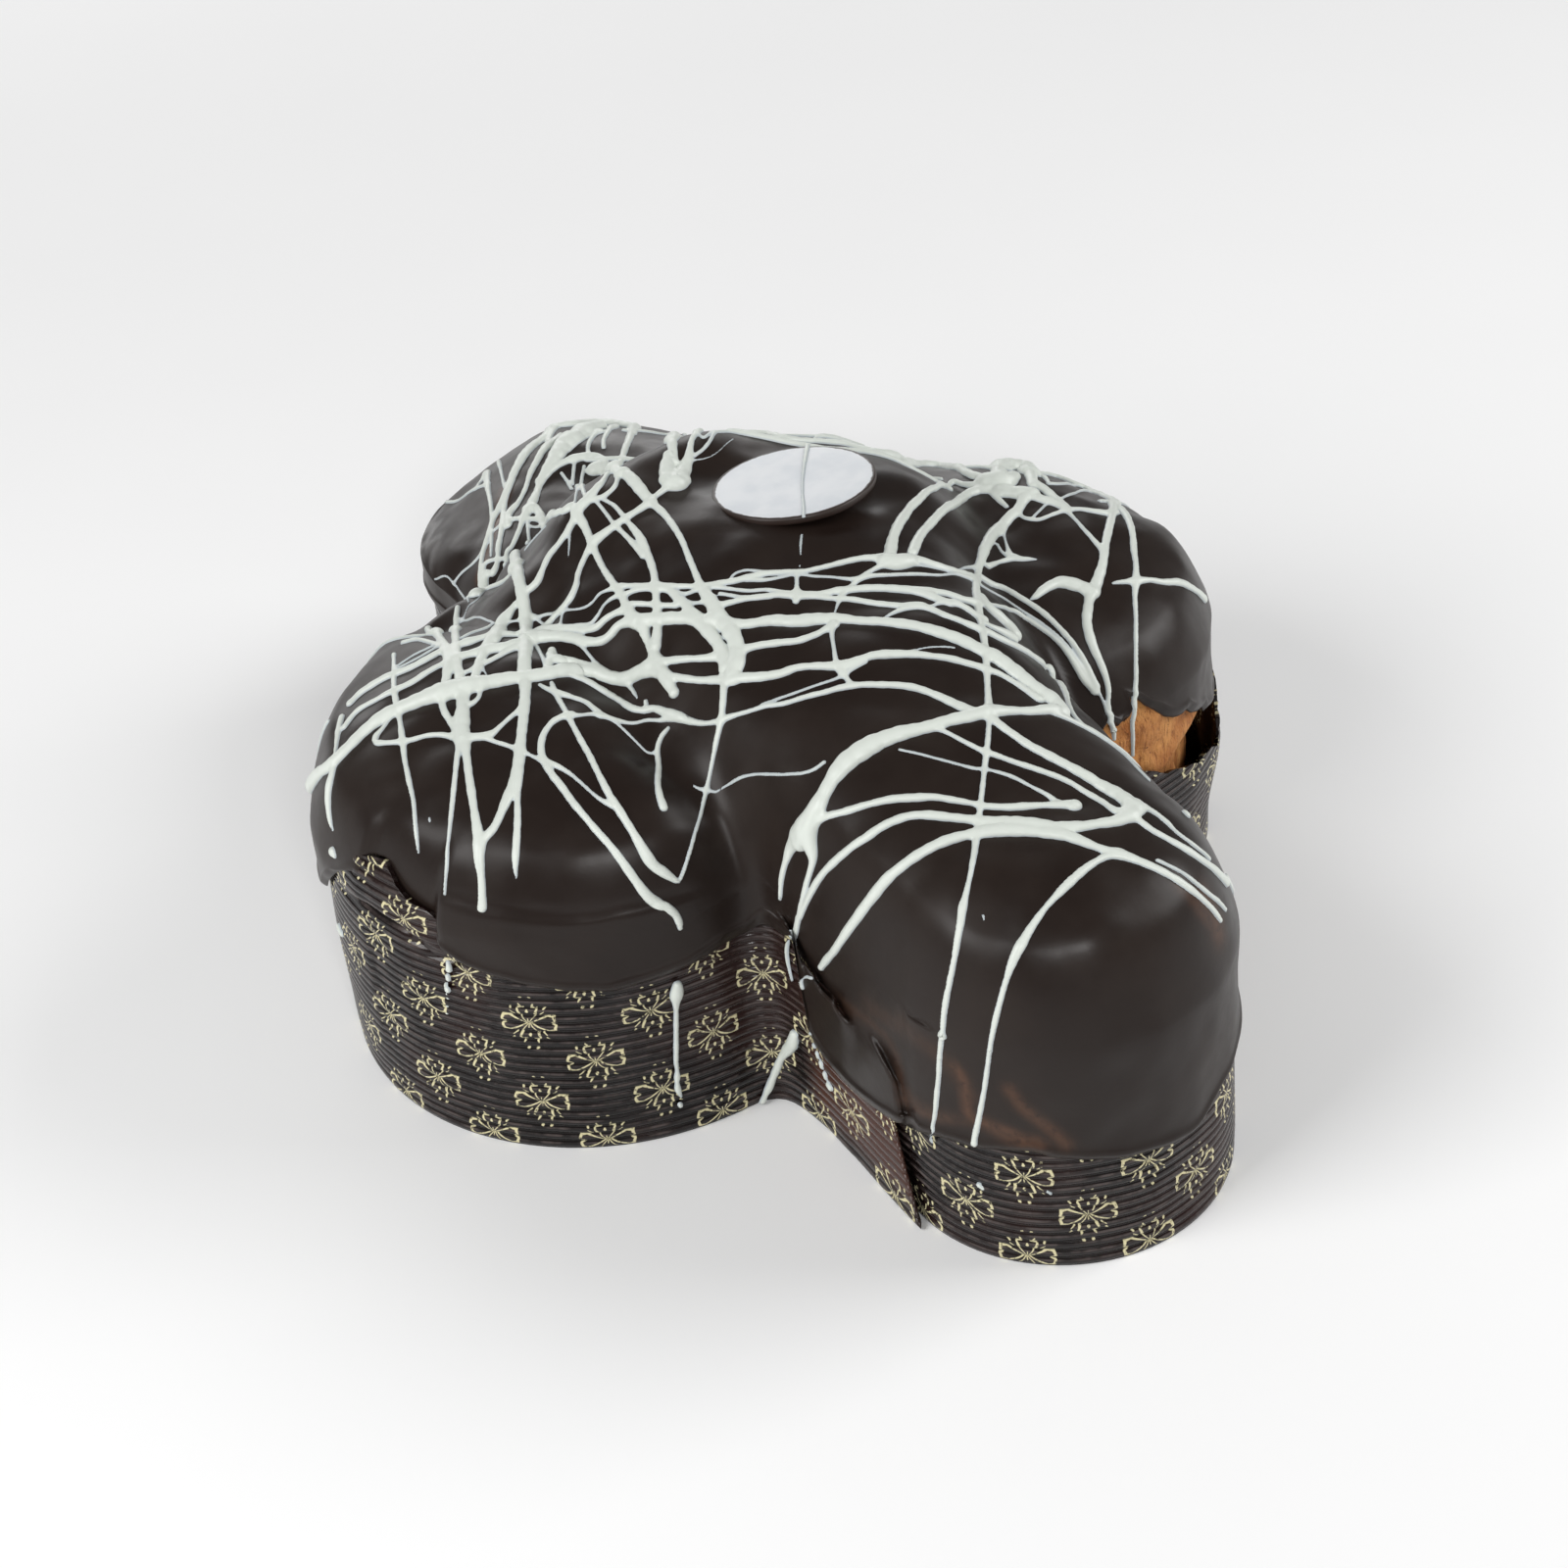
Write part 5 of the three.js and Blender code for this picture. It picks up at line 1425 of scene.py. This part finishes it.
def plaque():
    """A thin round plaque with softly rounded edges, which leans back on the crest."""
    count = PLAQUE_COLUMNS
    turn = 2 * np.pi * np.arange(count) / count
    rings = []
    for share, up in PLAQUE_PROFILE:
        reach = PLAQUE_RADIUS * share * (1 + 0.004 * np.sin(3 * turn + 1) + 0.003 * np.sin(7 * turn))
        x = PLAQUE_CENTRE[0] + reach * np.cos(turn)
        y = PLAQUE_CENTRE[1] + reach * np.sin(turn)
        z = PLAQUE_TOP - PLAQUE_THICKNESS + up - PLAQUE_LEAN * (y - PLAQUE_CENTRE[1])
        rings.append(np.stack([x, y, z], -1))
    centres = [[*PLAQUE_CENTRE, PLAQUE_TOP - PLAQUE_THICKNESS], [*PLAQUE_CENTRE, PLAQUE_TOP]]
    points = np.concatenate([*rings, centres])
    last = (len(rings) - 1) * count
    caps = [fan(len(points) - 2, 0, count, True), fan(len(points) - 1, last, count)]
    return new_mesh("round_plaque", points, [ring_quads(len(rings), count)[:, ::-1], *caps])


# Shader building blocks
class Value:
    """A number in a material that can be added, multiplied and compared like a plain one."""

    def __init__(self, tree, socket):
        self.tree = tree
        self.socket = socket

    def math(self, operation, *others):
        node = self.tree.nodes.new("ShaderNodeMath")
        node.operation = operation
        for i, item in enumerate((self, *others)):
            if isinstance(item, Value):
                self.tree.links.new(item.socket, node.inputs[i])
            else:
                node.inputs[i].default_value = item
        return Value(self.tree, node.outputs[0])

    def __add__(self, other):
        return self.math("ADD", other)

    def __sub__(self, other):
        return self.math("SUBTRACT", other)

    def __mul__(self, other):
        return self.math("MULTIPLY", other)

    def __truediv__(self, other):
        return self.math("DIVIDE", other)

    def abs(self):
        return self.math("ABSOLUTE")

    def least(self, other):
        return self.math("MINIMUM", other)

    def most(self, other):
        return self.math("MAXIMUM", other)

    def step(self, low, high):
        """From 0 at low to 1 at high, level at both ends."""
        node = self.tree.nodes.new("ShaderNodeMapRange")
        node.interpolation_type = "SMOOTHSTEP"
        self.tree.links.new(self.socket, node.inputs["Value"])
        node.inputs["From Min"].default_value = low
        node.inputs["From Max"].default_value = high
        return Value(self.tree, node.outputs["Result"])


class Look:
    """A material with its shader, and short ways to feed it."""

    def __init__(self, name, **settings):
        self.material = bpy.data.materials.new(name)
        self.material.use_nodes = True
        self.tree = self.material.node_tree
        self.shader = self.tree.nodes["Principled BSDF"]
        for label, value in settings.items():
            self.shader.inputs[label.replace("_", " ")].default_value = value
        self.place = self.tree.nodes.new("ShaderNodeTexCoord").outputs["Object"]

    def node(self, kind, **inputs):
        """A new node with its inputs set or linked."""
        node = self.tree.nodes.new(kind)
        for label, value in inputs.items():
            socket = node.inputs[label.replace("_", " ")]
            if isinstance(value, Value):
                self.tree.links.new(value.socket, socket)
            elif isinstance(value, bpy.types.NodeSocket):
                self.tree.links.new(value, socket)
            else:
                socket.default_value = value
        return node

    def noise(self, size, detail=3.0, roughness=0.5, stretch=None):
        """Cloudy noise between 0 and 1, with features of a size in millimetres."""
        vector = self.place
        if stretch:
            mapping = self.node("ShaderNodeMapping", Vector=vector)
            mapping.inputs["Scale"].default_value = stretch
            vector = mapping.outputs[0]
        node = self.node("ShaderNodeTexNoise", Vector=vector, Detail=detail, Roughness=roughness)
        node.inputs["Scale"].default_value = 1000.0 / size
        return Value(self.tree, node.outputs["Fac"])

    def stored(self, name):
        """The node that reads a number or a vector stored on the mesh."""
        node = self.tree.nodes.new("ShaderNodeAttribute")
        node.attribute_name = name
        return node

    def number(self, name):
        """A number stored on the mesh."""
        return Value(self.tree, self.stored(name).outputs["Fac"])

    def parts(self, vector):
        """The three numbers of a vector."""
        split = self.node("ShaderNodeSeparateXYZ", Vector=vector)
        return [Value(self.tree, output) for output in split.outputs]

    def blend(self, share, first, second):
        """A colour between two: tuples of red, green and blue, or colours already blended."""
        node = self.tree.nodes.new("ShaderNodeMix")
        node.data_type = "RGBA"
        self.tree.links.new(share.socket, node.inputs["Factor"])
        for socket, colour in ((node.inputs[6], first), (node.inputs[7], second)):
            if isinstance(colour, tuple):
                socket.default_value = (*colour, 1.0)
            else:
                self.tree.links.new(colour, socket)
        return node.outputs[2]

    def colour(self, socket):
        self.tree.links.new(socket, self.shader.inputs["Base Color"])

    def feed(self, label, value):
        self.tree.links.new(value.socket, self.shader.inputs[label])

    def bump(self, height, depth, strength=1.0):
        """Fine relief, with its depth in millimetres."""
        node = self.node("ShaderNodeBump", Height=height)
        node.inputs["Strength"].default_value = strength
        node.inputs["Distance"].default_value = depth * MM
        self.tree.links.new(node.outputs[0], self.shader.inputs["Normal"])


def dark_chocolate():
    """Satin dark chocolate, with paler brown streaks where it is thin and painted highlights in the same
    paler brown.
    """
    look = Look("dark_chocolate", Roughness=0.34, IOR=1.45, Specular_IOR_Level=0.3)
    cloud = look.noise(26, 4, 0.55)
    fine = look.noise(3.0, 3, 0.6)
    body = look.blend(cloud.step(0.35, 0.7), (0.015, 0.0095, 0.0075), (0.021, 0.014, 0.011))
    # The paler brown marks both the thin streaks and the painted highlights on the head and the tail's edge.
    streak_and_sheen = look.number("streak_and_sheen") * look.noise(2.2, 3, 0.6).step(0.1, 0.55)
    look.colour(look.blend(streak_and_sheen, body, (0.115, 0.054, 0.030)))
    look.feed("Roughness", cloud.step(0.3, 0.75) * 0.14 + fine * 0.08 + 0.26)
    look.bump(fine * 0.4 + look.noise(11, 2, 0.5), 0.12, 0.6)
    return look.material


def white_chocolate():
    """Satin white chocolate, a little bluer and darker where it is thin."""
    look = Look("white_chocolate", Roughness=0.38, IOR=1.47)
    thick = look.number("thickness").step(0.12, 0.55)
    look.colour(look.blend(thick, (0.47, 0.52, 0.54), (0.68, 0.72, 0.665)))
    look.bump(look.noise(2.5, 2, 0.5), 0.03, 0.4)
    return look.material


def bread():
    """Golden brown crust with fine threads and pores; the hollows between the threads and in the pores are
    painted darker as shade.
    """
    look = Look("bread", Roughness=0.8)
    thread = look.noise(0.9, 4, 0.7, stretch=(1.0, 1.0, 0.22))
    patch = look.noise(7, 3, 0.5)
    pore = look.noise(1.3, 2, 0.5)
    warm = look.blend(patch.step(0.3, 0.7), (0.43, 0.155, 0.036), (0.64, 0.295, 0.088))
    # Painted shade: the lows between threads, where the bump sinks, are darker, over the crumb's own
    # threaded grain.
    body = look.blend(thread.step(0.50, 0.32), warm, (0.27, 0.090, 0.020))
    # Painted shade in the pores, which are also the bump's hollows.
    look.colour(look.blend(pore.step(0.33, 0.25), body, (0.15, 0.05, 0.014)))
    look.bump(thread * 1.2 + patch * 0.4 + pore * 0.5, 0.9, 0.9)
    return look.material


# Lengths along the outline over which the brown stain of the paper's loose end begins and ends
STAIN_START = (106, 114)
STAIN_END = (147, 143)


def printed_paper():
    """Dark brown ribbed paper with a painted highlight along each rib's upper edge and a flower pattern in
    pale gold.
    """
    look = Look("printed_paper", Roughness=0.2, Specular_IOR_Level=0.36)
    along, up, _ = look.parts(look.stored("wall").outputs["Vector"])
    patch = look.noise(34, 3, 0.5)
    ground = look.blend(patch.step(0.45, 0.65), (0.006, 0.0038, 0.0035), (0.020, 0.0085, 0.007))
    stained = along.step(*(PERIMETER + length for length in STAIN_START))
    stained = stained * along.step(*(PERIMETER + length for length in STAIN_END))
    ground = look.blend(stained * up.step(2, 8), ground, (0.066, 0.028, 0.020))
    rib = (up / RIB_PITCH).math("FLOORED_MODULO", 1.0)
    # Painted highlight: a paler band along the upper part of each rib, broken up by noise.
    painted_rib_highlight = rib.step(0.5, 0.62) * rib.step(0.86, 0.72) * look.noise(5, 3, 0.6).step(0.35, 0.65)
    ground = look.blend(painted_rib_highlight, ground, (0.068, 0.053, 0.049))
    ink = motif(along, up)
    worn = look.noise(1.1, 2, 0.6).step(0.30, 0.5)
    look.colour(look.blend(ink * worn, ground, (0.68, 0.62, 0.38)))
    look.bump(look.noise(0.8, 2, 0.5), 0.05, 0.4)
    return look.material


# The flowers' spacing along and up the paper, and where their rows begin
MOTIF_PITCH = 26.736
MOTIF_ROW = 11.5
MOTIF_START = 190.0
MOTIF_BASE = 2.5
MOTIF_SCALE = 0.93

# Strokes of one quarter of a flower before scaling: from, to, and half widths, in millimetres
FLOWER = (
    ((0.4, 0.1), (2.6, 1.3), 0.08, 0.14), ((2.6, 1.3), (4.7, 2.25), 0.14, 0.2),
    ((4.7, 2.25), (6.1, 2.1), 0.2, 0.34), ((6.1, 2.1), (6.5, 0.75), 0.36, 0.26),
    ((6.5, 0.6), (5.5, 0.3), 0.17, 0.06), ((0.3, 0.4), (1.9, 2.5), 0.06, 0.1),
    ((1.95, 2.9), (2.4, 4.3), 0.3, 0.2), ((2.3, 4.65), (0.9, 4.7), 0.14, 0.08),
    ((0.0, 3.55), (0.0, 3.9), 0.34, 0.2), ((3.1, 2.8), (4.1, 3.6), 0.12, 0.05),
    ((0.0, 0.0), (0.0, 1.3), 0.1, 0.07), ((13.37, 4.5), (13.1, 4.55), 0.24, 0.18),
    ((1.5, 5.35), (1.75, 5.9), 0.24, 0.1), ((4.0, 4.35), (4.5, 4.85), 0.2, 0.08),
)


def motif(along, up):
    """A plain four-petalled flower in outline, in alternate rows over the paper."""
    row = ((up - MOTIF_BASE) / MOTIF_ROW + 0.5).math("FLOOR")
    odd = row.math("FLOORED_MODULO", 2.0)
    shift = along - (MOTIF_START + MOTIF_PITCH / 2) + odd * (MOTIF_PITCH / 2)
    across = ((shift / MOTIF_PITCH + 0.5).math("FLOORED_MODULO", 1.0) - 0.5) * MOTIF_PITCH
    u = across.abs()
    v = (up - MOTIF_BASE - row * MOTIF_ROW).abs()
    nearest = None
    for start, end, *halves in FLOWER:
        stroke = (MOTIF_SCALE * number for number in (*start, *end, *halves))
        from_u, from_v, to_u, to_v, half_from, half_to = stroke
        run, rise = to_u - from_u, to_v - from_v
        square = run * run + rise * rise
        part = (u * (run / square) + v * (rise / square)) - (from_u * run + from_v * rise) / square
        part = part.most(0.0).least(1.0)
        off_u = u - from_u - part * run
        off_v = v - from_v - part * rise
        off = (off_u * off_u + off_v * off_v).math("SQRT") - (part * (half_to - half_from) + half_from)
        nearest = off if nearest is None else nearest.least(off)
    return nearest.step(0.12, -0.04)


def plaque_look():
    """Pale silvery top on a dark brown disc."""
    look = Look("plaque", Roughness=0.42)
    x, y, z = (part * 1000.0 for part in look.parts(look.place))
    x = x - PLAQUE_CENTRE[0]
    y = y - PLAQUE_CENTRE[1]
    level = z + y * PLAQUE_LEAN - (PLAQUE_TOP - 0.12)
    reach = (x * x + y * y).math("SQRT") + look.noise(2.0, 3, 0.6) * 0.8 - 0.4
    top = level.step(-0.05, 0.05) * reach.step(PLAQUE_RADIUS * 0.965, PLAQUE_RADIUS * 0.945)
    pale = look.blend(look.noise(8, 3, 0.5).step(0.3, 0.7), (0.62, 0.65, 0.68), (0.70, 0.72, 0.74))
    look.colour(look.blend(top, (0.030, 0.018, 0.014), pale))
    look.bump(look.noise(1.2, 3, 0.6), 0.04, 0.4)
    return look.material


# Build
PLAIN_SEEN = SeenSkin(plain_skin, PLAN_BOUNDS, PLAN_STEP)
TORN_EDGE = line_round(PLAIN_SEEN, TORN_EDGE_SEEN)
LEDGE = line_round(PLAIN_SEEN, LEDGE_SEEN)
CAKE_SEEN = SeenSkin(cake_skin, PLAN_BOUNDS, PLAN_STEP)
chocolate = dark_chocolate()
ivory = white_chocolate()
paper = printed_paper()
dark_coating = dress(coating(), chocolate)
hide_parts("chocolate_glaze")
for strand_piece in [*drizzle_pieces(), plaque_drizzle()]:
    dress(strand_piece, ivory)
    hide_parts("chocolate_glaze")
case = dress(ribbed_case(), paper)
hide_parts("paper_case")
bottom = dress(case_floor(), paper)
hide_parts("paper_case")
loaf = dress(crust(), bread())
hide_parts("cake")
disc = dress(plaque(), plaque_look())
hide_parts("chocolate_plaque")


# Floor, light and camera
FLOOR_SIZE = 1500.0
FLOOR_DROP = -0.1


def floor():
    """A plain pale floor, just below the case."""
    points = [(FLOOR_SIZE * x, FLOOR_SIZE * y, FLOOR_DROP) for x, y in ((-1, -1), (1, -1), (1, 1), (-1, 1))]
    sheet = new_mesh("floor", points, [[(0, 1, 2, 3)]])
    look = Look("floor", Roughness=0.9)
    look.colour(look.blend(look.noise(80), (0.96, 0.96, 0.96), (0.98, 0.98, 0.98)))
    sheet.data.materials.append(look.material)


def lamp(name, place, target, size, power):
    """A soft lamp, in metres and watts."""
    data = bpy.data.lights.new(name, "AREA")
    data.shape = "RECTANGLE"
    data.size, data.size_y = size
    data.energy = power
    light = bpy.data.objects.new(name, data)
    light.location = place
    light.rotation_euler = (Vector(target) - Vector(place)).to_track_quat("-Z", "Y").to_euler()
    bpy.context.scene.collection.objects.link(light)


def camera():
    """The camera that sees the cake as the photograph does."""
    place, right, up, forward = camera_frame()
    data = bpy.data.cameras.new("camera")
    data.lens = CAMERA_FOCAL
    data.sensor_width = CAMERA_SENSOR
    data.clip_start = 0.05
    data.clip_end = 20
    view = bpy.data.objects.new("camera", data)
    columns = np.column_stack([right, up, -forward, place * MM])
    view.matrix_world = Matrix([*columns.tolist(), [0, 0, 0, 1]])
    bpy.context.scene.collection.objects.link(view)
    bpy.context.scene.camera = view


def soft_light():
    """Even white light from all round."""
    world = bpy.data.worlds.new("soft light")
    world.use_nodes = True
    background = world.node_tree.nodes["Background"]
    background.inputs["Color"].default_value = (1, 1, 1, 1)
    background.inputs["Strength"].default_value = 0.16
    bpy.context.scene.world = world


floor()
lamp("left", (-1.1, -0.1, 0.85), (-0.02, 0, 0.07), (0.8, 0.8), 12)
lamp("right", (1.1, -0.5, 0.8), (0.02, 0, 0.07), (0.8, 0.8), 11)
lamp("back", (0.3, 1.3, 0.36), (0, 0, 0.09), (1.3, 0.36), 5.5)
lamp("front", (-0.5, -1.3, 0.9), (0, 0, 0.05), (0.3, 0.3), 7.5)
camera()
soft_light()
bpy.context.scene.view_settings.view_transform = "Standard"

bpy.context.view_layer.update()
